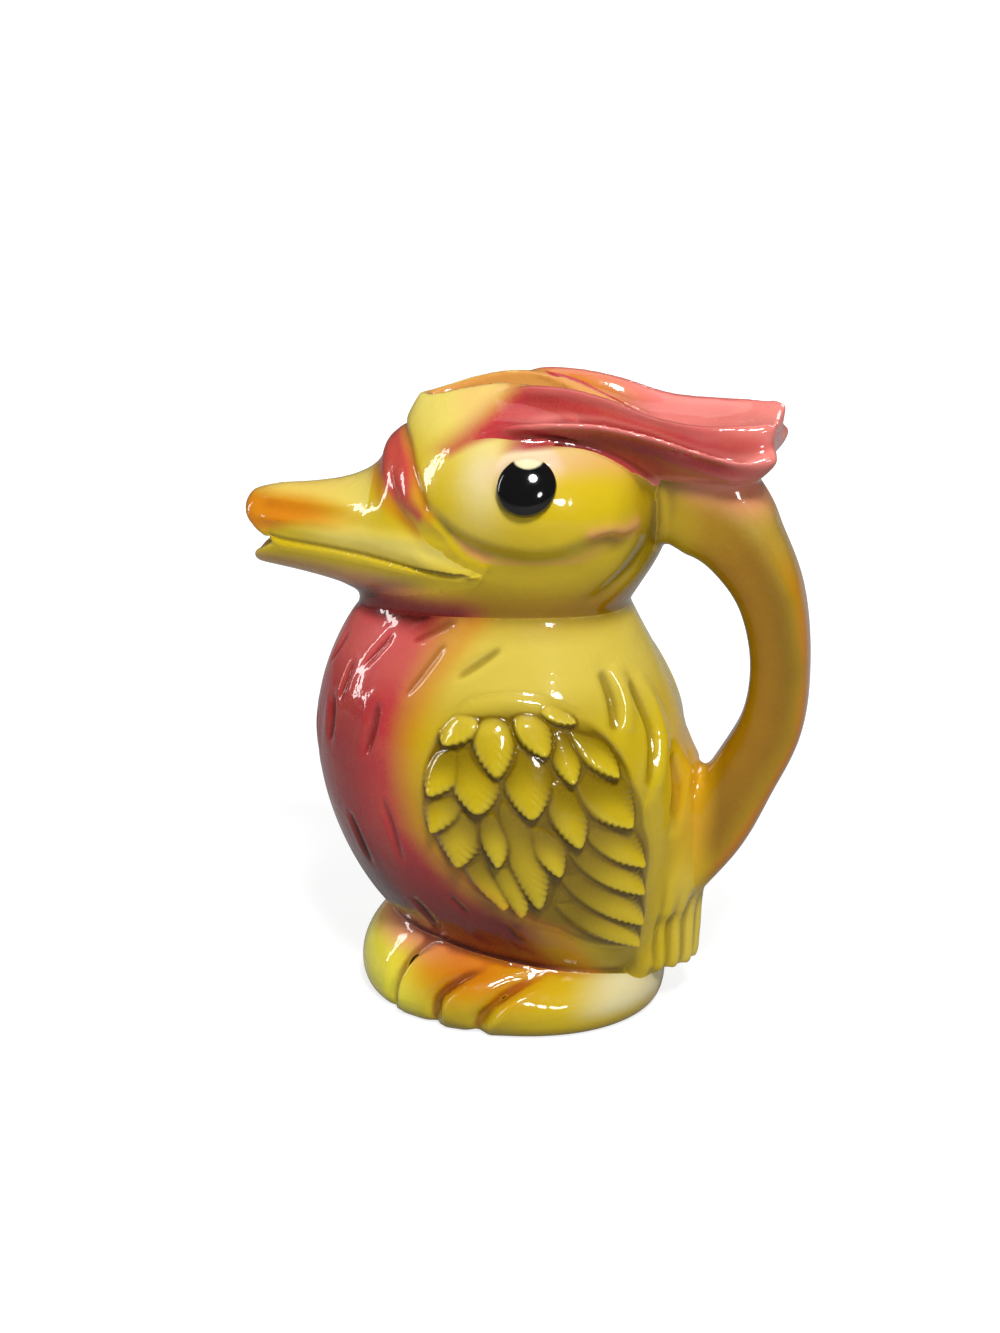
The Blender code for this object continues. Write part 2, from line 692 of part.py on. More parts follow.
# Handle, an oval loop from the crest and nape down to the back
spine = smooth_path([Vector((x, 0, z)) for x, z, depth, half in HANDLE], HANDLE_STEPS)
sizes = smooth_path([Vector((depth / 2, half, 0)) for x, z, depth, half in HANDLE], HANDLE_STEPS)
handle_rings = []
for i, (point, size) in enumerate(zip(spine, sizes)):
    ahead = spine[min(i + 1, len(spine) - 1)] - spine[max(i - 1, 0)]
    outward = ahead.cross(Vector((0, 1, 0))).normalized()
    handle_rings.append(
        [
            point + outward * size.x * math.cos(angle) + Vector((0, size.y * math.sin(angle), 0))
            for angle in ring_angles(HANDLE_SIDES)
        ]
    )
handle = as_piece(loft("handle", handle_rings), GOLD)
handle_form = as_cutter(loft("handle form", handle_rings), SLIP_GAP)
cut(handle, head_form, body_form, crest_form)

# Tail, a ridged fan on the lower back
tail_rings = []
for height, stand_out, half in TAIL:
    ring = []
    reach = BACK_REACH + stand_out - TAIL_ROOT_REACH
    for angle in ring_angles(TAIL_SIDES):
        ridge = TAIL_RIDGE_HEIGHT * math.cos(TAIL_RIDGES * 2 * angle) if math.cos(angle) > 0 else 0
        point = egg(TAIL_ROOT_REACH, reach, half, angle)
        point += point.normalized() * ridge
        ring.append(point + Vector((TAIL_ROOT_REACH, 0, height)))
    tail_rings.append(ring)
tail = as_piece(loft("tail", tail_rings), YELLOW)
cut(tail, body_form, plinth_form, handle_form)
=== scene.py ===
import math
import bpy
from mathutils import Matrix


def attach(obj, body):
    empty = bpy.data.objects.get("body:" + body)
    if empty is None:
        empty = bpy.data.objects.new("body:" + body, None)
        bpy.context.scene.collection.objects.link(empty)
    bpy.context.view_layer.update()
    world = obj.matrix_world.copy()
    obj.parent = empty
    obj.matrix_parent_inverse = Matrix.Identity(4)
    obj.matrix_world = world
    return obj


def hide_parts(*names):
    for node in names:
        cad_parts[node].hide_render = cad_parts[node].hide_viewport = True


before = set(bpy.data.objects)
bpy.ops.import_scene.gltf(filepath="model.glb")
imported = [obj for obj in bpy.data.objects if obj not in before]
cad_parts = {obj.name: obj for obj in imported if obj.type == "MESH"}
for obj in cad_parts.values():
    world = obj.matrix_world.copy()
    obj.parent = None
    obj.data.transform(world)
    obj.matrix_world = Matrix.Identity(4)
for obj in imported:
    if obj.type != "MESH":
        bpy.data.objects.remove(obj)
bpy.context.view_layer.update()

from types import SimpleNamespace

import bpy
import numpy as np
from bpy.props import FloatProperty, FloatVectorProperty, IntProperty, PointerProperty
from mathutils import Vector

bl_info = {
    "name": "Bird pitcher",
    "version": (1, 0, 0),
    "blender": (4, 5, 0),
    "location": "3D View > Sidebar > Pitcher",
    "description": "Models a glazed bird-shaped pitcher with a loop handle and a spout bill",
    "category": "Add Mesh",
}

# Every length below is in millimetres; the bill points along -X and the handle is at +X
MM = 0.001

# Egg-shaped rings of the castings: front reach, rear reach, half width
FOOT_BULGE = (52.0, 44.8, 39.5)
WAIST = (41.2, 44.0, 26.5)
BELLY = (65.0, 51.2, 46.0)
NECK = (51.0, 31.3, 29.0)
CHEEK = (41.0, 44.0, 35.0)
RIM = (31.7, 36.0, 9.0)
FOOT_BULGE_HEIGHT = 8.5
FOOT_TUCK = 4.0
CHEEK_HEIGHT = 163.0
# Heights of the seams, the belly and the rim: middle, tilt along X, rise at the sides
WAIST_MIDDLE, WAIST_TILT = 21.5, 6.5
BELLY_MIDDLE, BELLY_TILT = 80.5, 5.5
NECK_MIDDLE, NECK_TILT, NECK_RISE = 128.25, 2.25, 4.5
RIM_MIDDLE, RIM_TILT, RIM_RISE = 189.25, 2.25, 8.0
WAIST_SLOPE = 0.1526
FOOT_RING = 8.0
HEAD_ROOT = 8.0
SLOT_DRAW = 8.5
EYEBALL_RADIUS, EYEBALL_SWELL = 21.0, 2.5

# Halves of the bill from root to tip: reach, outer height, edge height, half width
UPPER_BILL = (
    (1.0, 150.0, 145.5, 31.6), (10.0, 154.0, 145.5, 34.2), (22.0, 161.0, 145.5, 31.2),
    (30.0, 174.0, 145.5, 27.5), (37.0, 179.0, 145.5, 24.5), (42.0, 172.8, 145.5, 22.5),
    (48.0, 167.3, 145.5, 20.0), (56.0, 163.8, 145.5, 17.2), (66.0, 161.9, 145.5, 14.0),
    (75.5, 160.9, 146.0, 12.0), (80.5, 159.8, 148.0, 10.2), (84.5, 158.4, 151.2, 7.8),
    (86.2, 155.8, 153.8, 4.0),
)
LOWER_BILL = (
    (2.0, 137.0, 145.5, 29.5), (10.0, 135.0, 145.5, 30.6), (24.0, 131.0, 145.5, 28.8),
    (40.0, 129.4, 145.5, 22.8), (49.0, 129.4, 145.5, 19.2), (56.0, 131.8, 145.5, 16.6),
    (66.0, 133.8, 145.5, 13.4), (75.0, 135.2, 145.2, 11.2), (79.0, 135.8, 143.2, 9.6),
    (82.5, 136.4, 141.0, 7.0), (83.8, 137.2, 139.2, 4.0),
)
# Pouring channel through the bill: reach, top, bottom, half width
SPOUT = (
    (22.0, 160.0, 135.5, 22.0), (26.0, 163.0, 134.8, 21.5), (34.0, 168.0, 134.0, 17.8),
    (45.0, 162.0, 133.6, 13.4), (56.0, 158.0, 135.8, 9.2), (66.0, 155.0, 137.8, 6.4),
    (79.0, 150.5, 139.8, 6.0), (95.0, 149.0, 140.6, 6.0),
)
# Crest from the front of the locks to the tip:
# X, trough height, ridge spacing, ridge height, lobe half width, lobe height, keel height
CREST = (
    (-17.0, 183.0, 9.0, 186.5, 16.5, 181.0, 178.0),
    (-12.0, 186.0, 9.8, 189.5, 22.0, 184.0, 180.0),
    (-6.0, 189.0, 10.8, 194.0, 25.0, 186.6, 179.0),
    (2.0, 191.5, 11.2, 197.6, 26.6, 188.8, 178.0),
    (14.0, 190.0, 11.4, 197.6, 26.4, 190.0, 174.0),
    (26.0, 187.2, 12.4, 195.4, 25.0, 189.8, 171.0),
    (40.0, 185.0, 14.2, 191.2, 24.0, 187.2, 170.0),
    (54.0, 183.6, 16.4, 189.8, 22.8, 183.2, 170.0),
    (64.0, 185.0, 15.0, 190.2, 21.8, 180.8, 171.0),
    (70.0, 187.0, 13.8, 191.0, 20.4, 180.8, 172.0),
    (74.0, 187.6, 12.8, 190.9, 19.0, 181.4, 173.6),
    (75.6, 187.6, 12.0, 190.4, 18.0, 181.8, 174.6),
)
# Handle from the crest down to the back: X, height, thickness in side view, half width
HANDLE = (
    (40.0, 166.0, 25.0, 11.5), (56.6, 160.6, 30.5, 11.8), (66.8, 149.0, 23.4, 10.8),
    (74.2, 134.5, 19.6, 9.8), (77.4, 115.0, 17.6, 9.4), (75.6, 95.5, 18.8, 9.6),
    (67.6, 77.8, 20.4, 10.2), (58.2, 61.2, 23.0, 11.2), (45.0, 45.0, 24.0, 12.0),
)
# Tail from its lower edge up: height, reach to the rear, half width
TAIL = (
    (14.8, 53.8, 18.6), (16.5, 55.0, 19.6), (23.0, 55.3, 19.0), (34.0, 56.0, 17.0),
    (45.0, 57.2, 13.5), (50.0, 55.6, 11.0),
)
TAIL_ROOT = 15.0
# Column of the back that runs up from the tail in front of the handle's foot
COLUMN = (
    (34.0, 53.0, 19.0), (44.0, 56.2, 19.0), (54.0, 57.2, 18.4), (64.0, 57.2, 17.6),
    (73.0, 56.0, 16.4), (81.0, 53.2, 14.0), (87.0, 50.0, 10.0),
)
COLUMN_SQUARE = 0.6

# Leaf-shaped feathers of one wing: root turn and height, tip turn and height, half width
FEATHERS = (
    (96.6, 109.3, 104.0, 96.9, 4.4), (91.5, 109.8, 87.6, 89.0, 4.8),
    (82.3, 110.7, 71.2, 95.6, 4.6), (76.3, 111.8, 60.3, 104.7, 3.4),
    (100.4, 96.4, 106.8, 81.6, 4.0), (97.3, 98.1, 92.5, 77.8, 5.4),
    (81.4, 98.4, 76.0, 77.0, 5.8), (68.0, 102.8, 63.3, 87.0, 3.8),
    (62.8, 103.6, 46.8, 87.7, 4.2), (101.2, 85.7, 106.6, 69.9, 3.8),
    (100.2, 80.1, 98.7, 59.7, 4.6), (90.4, 79.1, 87.5, 61.2, 3.6),
    (85.8, 83.4, 73.2, 46.5, 5.0), (70.7, 89.0, 60.4, 67.4, 4.6), (61.8, 90.2, 41.3, 72.3, 6.0),
    (60.5, 75.3, 35.4, 58.4, 4.9), (64.6, 67.1, 34.3, 48.8, 4.9), (67.3, 58.3, 32.9, 37.8, 5.2),
    (68.7, 48.2, 33.1, 29.8, 4.7), (90.4, 71.5, 79.3, 43.3, 4.2), (76.7, 75.1, 66.9, 58.8, 3.8),
    (97.9, 64.7, 84.7, 46.7, 3.8),
)
# Outline of one wing as turn and height round the body
WING = (
    (106.7, 100.8), (110.2, 86.7), (109.4, 71.5), (103.6, 56.0), (94.1, 47.7), (80.0, 40.5),
    (68.7, 36.7), (49.5, 28.8), (33.7, 26.6), (32.3, 48.9), (34.7, 69.9), (39.5, 84.7),
    (46.3, 97.8), (60.0, 107.8), (72.5, 112.2), (88.5, 113.1), (98.2, 110.8),
)
WING_MIDDLE = (72.0, 72.0)
MM_PER_DEGREE = 0.80
BARB_PITCH = 4.2

# Comma marks pressed into the breast: three points as turn and height, half width, depth
BREAST_MARKS = (
    ((130.4, 123.2), (133.7, 118.9), (137.4, 114.3), 1.1, 0.8),
    ((109.4, 123.4), (113.7, 116.4), (118.1, 109.0), 1.3, 1.1),
    ((91.3, 124.1), (96.9, 120.1), (102.4, 116.0), 1.4, 1.0),
    ((107.8, 129.6), (114.1, 126.6), (120.4, 123.5), 1.3, 0.9),
    ((127.5, 103.5), (128.1, 96.7), (129.4, 89.6), 1.5, 1.7),
    ((149.9, 100.8), (148.5, 94.7), (148.6, 88.0), 1.5, 1.3),
    ((122.6, 75.0), (120.8, 65.8), (119.8, 56.0), 1.1, 0.8),
    ((120.2, 41.5), (117.5, 37.2), (115.1, 32.6), 1.2, 0.7),
    ((105.0, 46.8), (102.5, 43.5), (99.8, 40.3), 1.1, 0.5),
    ((88.2, 38.3), (85.1, 34.6), (81.8, 30.8), 1.1, 0.5),
    ((144.4, 112.8), (144.6, 107.6), (145.0, 102.1), 1.1, 0.8),
    ((166.0, 92.0), (165.0, 85.5), (165.5, 79.0), 1.4, 1.2),
    ((158.0, 119.0), (160.0, 114.0), (163.0, 109.5), 1.1, 0.8),
    ((140.0, 66.0), (138.0, 58.5), (136.5, 51.0), 1.2, 0.9),
)
# Creases in the back, as turn and height
BACK_CREASES = (
    ((44.9, 117.7), (42.6, 108.7), (45.5, 99.7)), ((31.2, 113.4), (26.2, 97.4), (33.9, 80.5)),
    ((16.8, 88.5), (15.5, 78.0), (18.7, 67.3)),
)
# Grooves in front of the toes on one side of the plinth, from the ground up
TOE_GROOVES = (
    ((-35.0, -28.2, 2.0), (-34.6, -29.0, 7.0), (-33.2, -28.9, 14.1), (-29.6, -27.2, 19.9),
     (-23.8, -25.4, 23.4), (-17.8, -24.6, 24.3)),
    ((-20.2, -34.6, 0.0), (-19.9, -36.4, 5.2), (-18.9, -36.7, 10.3), (-15.2, -36.1, 14.6),
     (-8.8, -33.7, 18.2), (-1.6, -31.4, 19.7)),
    ((-6.2, -36.0, 0.0), (-4.9, -38.6, 4.4), (-2.4, -39.0, 8.9), (2.6, -37.0, 14.2),
     (8.6, -33.2, 16.9), (15.5, -29.4, 17.7)),
)
# Lines on one side of the face and bill
EYEBALL_EDGE = (
    (-23.0, 165.0), (-19.8, 162.4), (-11.7, 158.5), (-0.6, 155.4), (9.6, 154.2), (17.9, 155.4),
    (24.3, 158.4), (29.5, 160.3), (35.0, 160.4),
)
CHEEK_FOLD = (
    (25.5, -29.2, 159.6), (29.5, -26.2, 160.2), (32.8, -23.3, 159.6), (35.6, -20.4, 160.6),
)
FACE_EDGE = (
    (0.0, 181.6), (6.8, 182.4), (14.7, 183.2), (21.1, 182.5), (28.0, 179.6), (34.3, 173.3),
    (37.2, 165.0), (37.4, 157.3), (35.3, 152.0), (31.4, 146.7), (24.9, 140.9), (17.0, 137.5),
)
CERE_MIDDLE = (
    (-40.0, 0.0, 176.6), (-38.6, -8.0, 175.4), (-35.8, -15.5, 172.8), (-32.6, -20.6, 168.8),
    (-29.0, -24.6, 164.6), (-26.0, -27.4, 161.6),
)
CERE_REAR = (
    (-36.6, 0.0, 182.4), (-35.0, -8.0, 181.2), (-32.2, -14.5, 178.8), (-28.9, -21.9, 173.4),
    (-25.4, -26.8, 167.5), (-22.4, -29.4, 162.0),
)
BILL_FLARE = (
    (-25.0, -27.6, 163.6), (-18.8, -31.3, 158.8), (-12.6, -33.0, 151.8), (-8.0, -33.6, 149.8),
    (-4.3, -33.4, 147.7),
)
BILL_LIP = (
    (-80.0, -8.6, 153.4), (-71.2, -11.8, 152.2), (-59.4, -15.4, 151.6), (-48.5, -19.2, 152.4),
    (-35.8, -24.6, 153.0), (-23.7, -29.0, 153.8), (-14.0, -32.8, 152.4),
)
BILL_SCOOP = (
    (-82.5, -6.4, 155.4), (-75.0, -10.0, 156.2), (-66.0, -12.6, 156.8), (-57.0, -15.0, 157.2),
    (-48.0, -18.0, 157.6),
)
MOUTH_LINE = (
    (-78.5, -10.2, 146.6), (-74.5, -11.9, 145.9), (-66.4, -13.6, 145.4), (-52.6, -17.6, 145.4),
    (-42.4, -21.5, 145.2), (-32.5, -25.2, 144.6), (-22.7, -28.6, 144.0), (-13.0, -31.8, 144.6),
    (-4.3, -33.4, 147.1),
)
EYE_PLACE = (7.1, 173.6)

# Sprayed coats in the order in which they lie on the yellow ground
# Besides the glaze's own colours, lemon, lime and pink also paint light on tops, ridges and raised
# parts, and olive, amber and maroon paint shade in hollows, creases and on sides turned from the
# light
COATS = ("lemon", "lime", "cream", "amber", "olive", "orange", "rose", "pink", "maroon")
# Where the breast's rose begins and is full: height, turns round the body
ROSE_EDGE = (
    (14, 52, 78), (38, 68, 88), (41.7, 77, 96.5), (49.3, 91, 105), (58, 102, 111),
    (68.6, 110, 117), (83.4, 113.5, 119.3), (96.9, 113.8, 120), (112.3, 109.2, 120),
    (126.1, 101, 117), (133.3, 96, 113), (142, 90, 108),
)
# Sockets of a Mix node that mixes colours
MIX_FACTOR, MIX_A, MIX_B, MIX_RESULT = 0, 6, 7, 2

# Camera that stands where the photographer stood
CAMERA_PLACE = (137.71, -684.80, 361.55)
CAMERA_TURN = (70.0, 0.0, 12.0)
CAMERA_LENS = 65.9
# Lamps in metres and watts: name, place, height aimed at, width, depth, power
LAMPS = (
    ("key box", (0.28, -0.72, 1.03), 0.12, 0.27, 0.27, 12.5),
    ("side box", (0.66, -0.96, 0.52), 0.12, 0.20, 0.20, 3.0),
    ("window", (-1.35, -0.15, 0.62), 0.12, 0.16, 1.00, 6.0),
    ("ceiling", (0.00, 0.20, 1.40), 0.10, 1.00, 1.00, 3.0),
    ("back box", (0.50, 0.95, 0.90), 0.15, 0.60, 0.60, 5.0),
)
ROOM_LIGHT = 0.10
MIRRORED_SHARE = 0.06


def eased(low, high, value):
    """0 at low, 1 at high, with soft ends."""
    share = np.clip((value - low) / (high - low), 0, 1)
    return share * share * (3 - 2 * share)


def falling(low, high, value):
    """1 at low, 0 at high, with soft ends."""
    return 1 - eased(low, high, value)


def near(value, middle, width):
    """1 at the middle, fading on both sides."""
    return np.exp(-(((value - middle) / width) ** 2))


def fading(value, length):
    """1 up to zero, dying away past it."""
    return np.exp(-np.clip(value, 0, 99) / length)


def egg(ring, turn, inset=0.0):
    reach = np.where(np.cos(turn) > 0, ring[1], ring[0]) - inset
    return reach * np.cos(turn), (ring[2] - inset) * np.sin(turn)


def waist_height(turn):
    return WAIST_MIDDLE - WAIST_TILT * np.cos(turn)


def neck_height(turn):
    return NECK_MIDDLE + NECK_TILT * np.cos(turn) + NECK_RISE * np.sin(turn) ** 2


def rim_height(turn):
    return RIM_MIDDLE - RIM_TILT * np.cos(turn) + RIM_RISE * np.abs(np.sin(turn)) ** 3


def swell(end, full, share, fullness):
    """A place between a casting's fullest ring and one of its ends."""
    keep = np.clip(np.cos(np.clip(share, 0, 1) * np.pi / 2), 0, 1) ** fullness
    return end[0] + (full[0] - end[0]) * keep, end[1] + (full[1] - end[1]) * keep


def body_at(turn, height, inset=0.0):
    full = BELLY_MIDDLE - BELLY_TILT * np.cos(turn)
    belly = egg(BELLY, turn, inset)
    below = (full - height) / (full - waist_height(turn))
    above = (height - full) / (neck_height(turn) - full)
    low = swell(egg(WAIST, turn, inset), belly, below, 0.70)
    high = swell(egg(NECK, turn, inset), belly, above, 0.96 + 0.16 * np.cos(turn))
    return np.where(height < full, low[0], high[0]), np.where(height < full, low[1], high[1])


def plinth_at(turn, height, inset=0.0):
    share = (height - FOOT_BULGE_HEIGHT) / (waist_height(turn) - FOOT_BULGE_HEIGHT)
    return swell(egg(WAIST, turn, inset), egg(FOOT_BULGE, turn, inset), share, 0.75)


def head_at(turn, height, inset=0.0):
    cheek = egg(CHEEK, turn, inset)
    below = (CHEEK_HEIGHT - height) / (CHEEK_HEIGHT - neck_height(turn))
    above = (height - CHEEK_HEIGHT) / (rim_height(turn) - CHEEK_HEIGHT)
    low = swell(egg(NECK, turn, inset), cheek, below, 1.0)
    high = swell(egg(RIM, turn, inset), cheek, above, 0.90)
    x = np.where(height < CHEEK_HEIGHT, low[0], high[0])
    y = np.where(height < CHEEK_HEIGHT, low[1], high[1])
    away = np.hypot(x - EYE_PLACE[0], height - EYE_PLACE[1]) / EYEBALL_RADIUS
    return x, y + np.sin(turn) * EYEBALL_SWELL * np.exp(-away * away)


def turn_round(shape, table):
    """The turn at which a casting's ring passes each point, all taken to be on its right side."""
    x, y, z = (table * (1, -1, 1)).T
    seen = np.arctan2(y, x)
    turn = seen.copy()
    for _ in range(9):
        ring_x, ring_y = shape(turn, z)
        miss = seen - np.arctan2(ring_y, ring_x)
        turn += (miss + np.pi) % (2 * np.pi) - np.pi
    return turn


def capped(share, cap=0.08):
    """Where a place lies along a form and how far out it is: the ends close over flat caps."""
    along = np.clip((share - cap) / (1 - 2 * cap), 0, 1)
    outward = np.clip(np.minimum(share, 1 - share) / cap, 0, 1)
    return along, outward


def curved(before, start, end, after, t):
    """A smooth curve's place between start and end."""
    lead = (end - before) / 2
    trail = (after - start) / 2
    return (
        start * (2 * t**3 - 3 * t**2 + 1)
        + lead * (t**3 - 2 * t**2 + t)
        + end * (3 * t**2 - 2 * t**3)
        + trail * (t**3 - t**2)
    )


def through(stations, along):
    """Values of a smooth curve through stations, for shares 0 to 1."""
    table = np.array(stations, float)
    last = len(table) - 1
    place = np.clip(along, 0, 1) * last
    first = np.clip(place.astype(int), 0, last - 1)
    before, after = table[np.maximum(first - 1, 0)], table[np.minimum(first + 2, last)]
    return curved(before, table[first], table[first + 1], after, (place - first)[:, None])


def ringed(x, y, height, outward):
    return np.stack([x * outward, y * outward, height], 1)


def place_plinth(share, turn, inset=0.0, floor=0.0, over=5.0):
    along, outward = capped(share)
    top = waist_height(turn) + over
    low = np.clip(along / 0.25, 0, 1)
    high = np.clip((along - 0.25) / 0.75, 0, 1)
    height = floor + (FOOT_BULGE_HEIGHT - floor) * low + (top - FOOT_BULGE_HEIGHT) * high
    x, y = plinth_at(turn, height, inset)
    tuck = FOOT_TUCK if inset == 0 else 0.0
    lean = 1 - tuck * (1 - np.sqrt(1 - (1 - low) ** 2)) / np.hypot(x, y)
    return ringed(x * lean, y * lean, height, outward)


def place_body(share, turn, inset=0.0, over=6.0):
    along, outward = capped(share)
    low = waist_height(turn) - over
    height = low + (neck_height(turn) + over - low) * along
    return ringed(*body_at(turn, height, inset), height, outward)


def place_head(share, turn, lift=0.0):
    along, outward = capped(share)
    low = neck_height(turn) - HEAD_ROOT
    height = low + (rim_height(turn) + lift - low) * along
    return ringed(*head_at(turn, height), height, outward)


def place_head_hollow(share, turn, wall, lip):
    """Inside of the head, drawn in under the rim to a straight-sided slot."""
    along, outward = capped(share)
    low = neck_height(turn) - HEAD_ROOT
    rim = rim_height(turn)
    height = low + (rim + 16.0 - low) * along
    drawn = SLOT_DRAW * eased(rim - 18.0, rim - 7.0, height)
    opened = (wall + SLOT_DRAW - lip) * eased(rim - 7.0, rim + 1.0, height)
    x, y = head_at(turn, height, wall + drawn - opened)
    x = np.where(x > 0, x * (1 - 0.30 * eased(rim - 16.0, rim - 3.0, height)), x)
    return ringed(x, y, height, outward)


def place_bill(share, turn, stations, up, grow=0.0):
    """A half of the bill, flat towards the other: up is 1 for the upper and -1 for the lower."""
    along, outward = capped(share, 0.03)
    reach, outer, edge, half = through(stations, along).T
    lift = np.sin(turn)
    rounded = edge + (outer - edge + up * grow) * np.abs(lift)
    height = np.where(up * lift < 0, edge - up * grow, rounded)
    middle = (outer + edge) / 2
    across = (half + grow) * np.cos(turn)
    return np.stack([-reach, across * outward, middle + (height - middle) * outward], 1)


def place_spout(share, turn):
    along, outward = capped(share, 0.03)
    reach, top, bottom, half = through(SPOUT, along).T
    height = (top + bottom) / 2 + (top - bottom) / 2 * np.sin(turn) * outward
    return np.stack([-reach, half * np.cos(turn) * outward, height], 1)


def place_crest(share, turn, grow=0.0):
    """Two locks, each with a channel on top, and a trough between them; a grown one is filled."""
    along, outward = capped(share, 0.02)
    x, trough, spacing, ridge, lobe, lobe_height, keel = through(CREST, along).T
    tip = eased(0.80, 0.98, along)
    sunk = 5.2 * eased(-13, 10, x) * (1 - 0.55 * eased(0.72, 0.94, along))
    sunk = sunk - 1.0 * falling(-14, -5, x)
    deep = lobe_height - keel
    if grow:
        trough = ridge
        sunk = sunk * 0 - 1.0
    # Half of the cross-section from the trough to the keel: across, height, lean of the tip
    side = (
        (0 * x, trough, -1.0),
        (spacing * 0.60, trough + (ridge - trough) * 0.30, -0.8),
        (spacing * 0.92, ridge - 0.8, -0.3),
        (spacing + 1.2, ridge, 0.0),
        (spacing + 2.6 + 0.4 * tip, ridge - 1.3 - 0.7 * tip, -0.5),
        (spacing * 0.70 + lobe * 0.30 + 1.0, ridge * 0.60 + lobe_height * 0.40 - sunk, -2.2),
        (
            spacing * 0.36 + lobe * 0.64 + 0.4 - tip,
            ridge * 0.26 + lobe_height * 0.74 - 0.75 * sunk,
            -1.8,
        ),
        (lobe - 0.9 - 2.0 * tip, lobe_height + 0.7 + 1.2 * tip, -0.6),
        (lobe - 0.7 * tip, lobe_height - 0.4 + 1.3 * tip, 0.5),
        (lobe - 1.2 + 1.2 * tip, lobe_height - 1.6 + 0.2 * tip, 0.8),
        (lobe - 2.6 + 1.7 * tip, lobe_height - np.minimum(4.0, 0.45 * deep), -0.2),
        (lobe - 4.6 + 1.2 * tip, lobe_height - np.minimum(7.6 - tip, 0.80 * deep), -2.6),
        (lobe * 0.50, keel + deep * 0.10, -4.6),
        (lobe * 0.22, keel, -5.0),
    )
    ring = list(side) + [(-y, z, lean) for y, z, lean in reversed(side[1:])]
    count = len(ring)
    table = np.array([[y + 0 * x, z + 0 * x, x + lean * tip] for y, z, lean in ring])
    place = (turn % (2 * np.pi)) / (2 * np.pi) * count
    first = place.astype(int) % count
    who = np.arange(len(x))
    corners = (table[(first + step) % count, :, who].T for step in (-1, 0, 1, 2))
    point = curved(*corners, place - np.floor(place))
    middle = np.array([0 * x, (lobe_height + keel) / 2, x - 2.0 * tip])
    away = point - middle
    size = np.maximum(np.hypot(away[0], away[1]), 1e-6)
    across, height, ahead = middle + away * (1 + grow / size) * outward
    return np.stack([ahead + grow * 2.4 * eased(0.9, 1.0, along), across, height], 1)


def place_crest_end(share, turn):
    """A block that takes in the slip under the crest's free end."""
    lift = np.cos(np.pi * (1 - share))
    out = np.sin(np.pi * share)
    x = 66.0 + 19.0 * out * np.cos(turn)
    return np.stack([x, 26.0 * out * np.sin(turn), 179.0 + 15.0 * lift], 1)


def squared(turn, power):
    """A circle's two shares, pushed towards a square by a power below 1."""
    across, up = np.cos(turn), np.sin(turn)
    return np.sign(across) * np.abs(across) ** power, np.sign(up) * np.abs(up) ** power


def place_handle(share, turn, grow=0.0):
    along, outward = capped(share, 0.03)
    x, height, depth, half = through(HANDLE, along).T
    ahead = through(HANDLE, along + 0.004) - through(HANDLE, along - 0.004)
    length = np.hypot(ahead[:, 0], ahead[:, 1])
    grow = grow * (1 + 2.0 * falling(0.05, 0.30, along))
    round_x, round_y = squared(turn, 0.58)
    out = (depth / 2 + grow) * round_x * outward / length
    across = (half + grow) * round_y * outward
    return np.stack([x - ahead[:, 1] * out, across, height + ahead[:, 0] * out], 1)


def place_tail(share, turn, grow=0.0, stations=TAIL, square=1.0):
    along, outward = capped(share)
    height, reach, half = through(stations, along).T
    round_x, round_y = squared(turn, square)
    x = np.where(round_x > 0, reach - TAIL_ROOT + grow, TAIL_ROOT) * round_x
    y = (half + grow) * round_y
    return np.stack([x * outward + TAIL_ROOT, y * outward, height + grow * (2 * along - 1)], 1)


def place_recess(share, turn):
    """Shallow hollow inside the foot ring."""
    along, outward = capped(share)
    return ringed(*egg(FOOT_BULGE, turn, FOOT_TUCK + FOOT_RING), -3.0 + 4.5 * along, outward)


def place_below_waist(share, turn):
    along, outward = capped(share, 0.2)
    x = 75.0 * np.cos(turn) * outward
    top = WAIST_MIDDLE - WAIST_SLOPE * x
    return np.stack([x, 70.0 * np.sin(turn) * outward, -5.0 + (top + 5.0) * along], 1)


def place_above_neck(share, turn):
    along, outward = capped(share, 0.2)
    reach = np.clip(outward * 2.0, 0, 1)
    low = NECK_MIDDLE + (neck_height(turn) - NECK_MIDDLE) * reach
    x, y = egg(NECK, turn)
    return ringed(2.0 * x, 2.0 * y, low + (230.0 - low) * along, outward)


def wing_outline(bearing):
    """Distance from the wing's middle to its outline, for a bearing on the unrolled body."""
    corners = np.array(WING) - np.array(WING_MIDDLE)
    corners[:, 0] *= MM_PER_DEGREE
    angles = np.arctan2(corners[:, 1], corners[:, 0])
    order = np.argsort(angles)
    return np.interp(bearing, angles[order], np.hypot(*corners[order].T), period=2 * np.pi)


def wing_edge(turn, height):
    """Distance outside a wing's outline, for turns in degrees on the unrolled body."""
    across = (turn - WING_MIDDLE[0]) * MM_PER_DEGREE
    up = height - WING_MIDDLE[1]
    return np.hypot(across, up) - wing_outline(np.arctan2(up, across))


def place_wing(share, turn, side=-1):
    """A pillow on the body that covers one wing, from below its surface to above it."""
    out = np.sin(share * np.pi) * wing_outline(turn)
    angle = np.radians(WING_MIDDLE[0] + out * np.cos(turn) / MM_PER_DEGREE)
    height = WING_MIDDLE[1] + out * np.sin(turn)
    depth = np.where(share > 0.5, 8.0, -2.2) * eased(0.0, 0.12, np.abs(share - 0.5))
    x, y = body_at(angle, height)
    ahead = np.stack(body_at(angle + 0.01, height)) - np.stack(body_at(angle - 0.01, height))
    out_x, out_y = depth * ahead[1] / np.hypot(*ahead), depth * ahead[0] / np.hypot(*ahead)
    return np.stack([x + out_x, side * (y - out_y), height], 1)


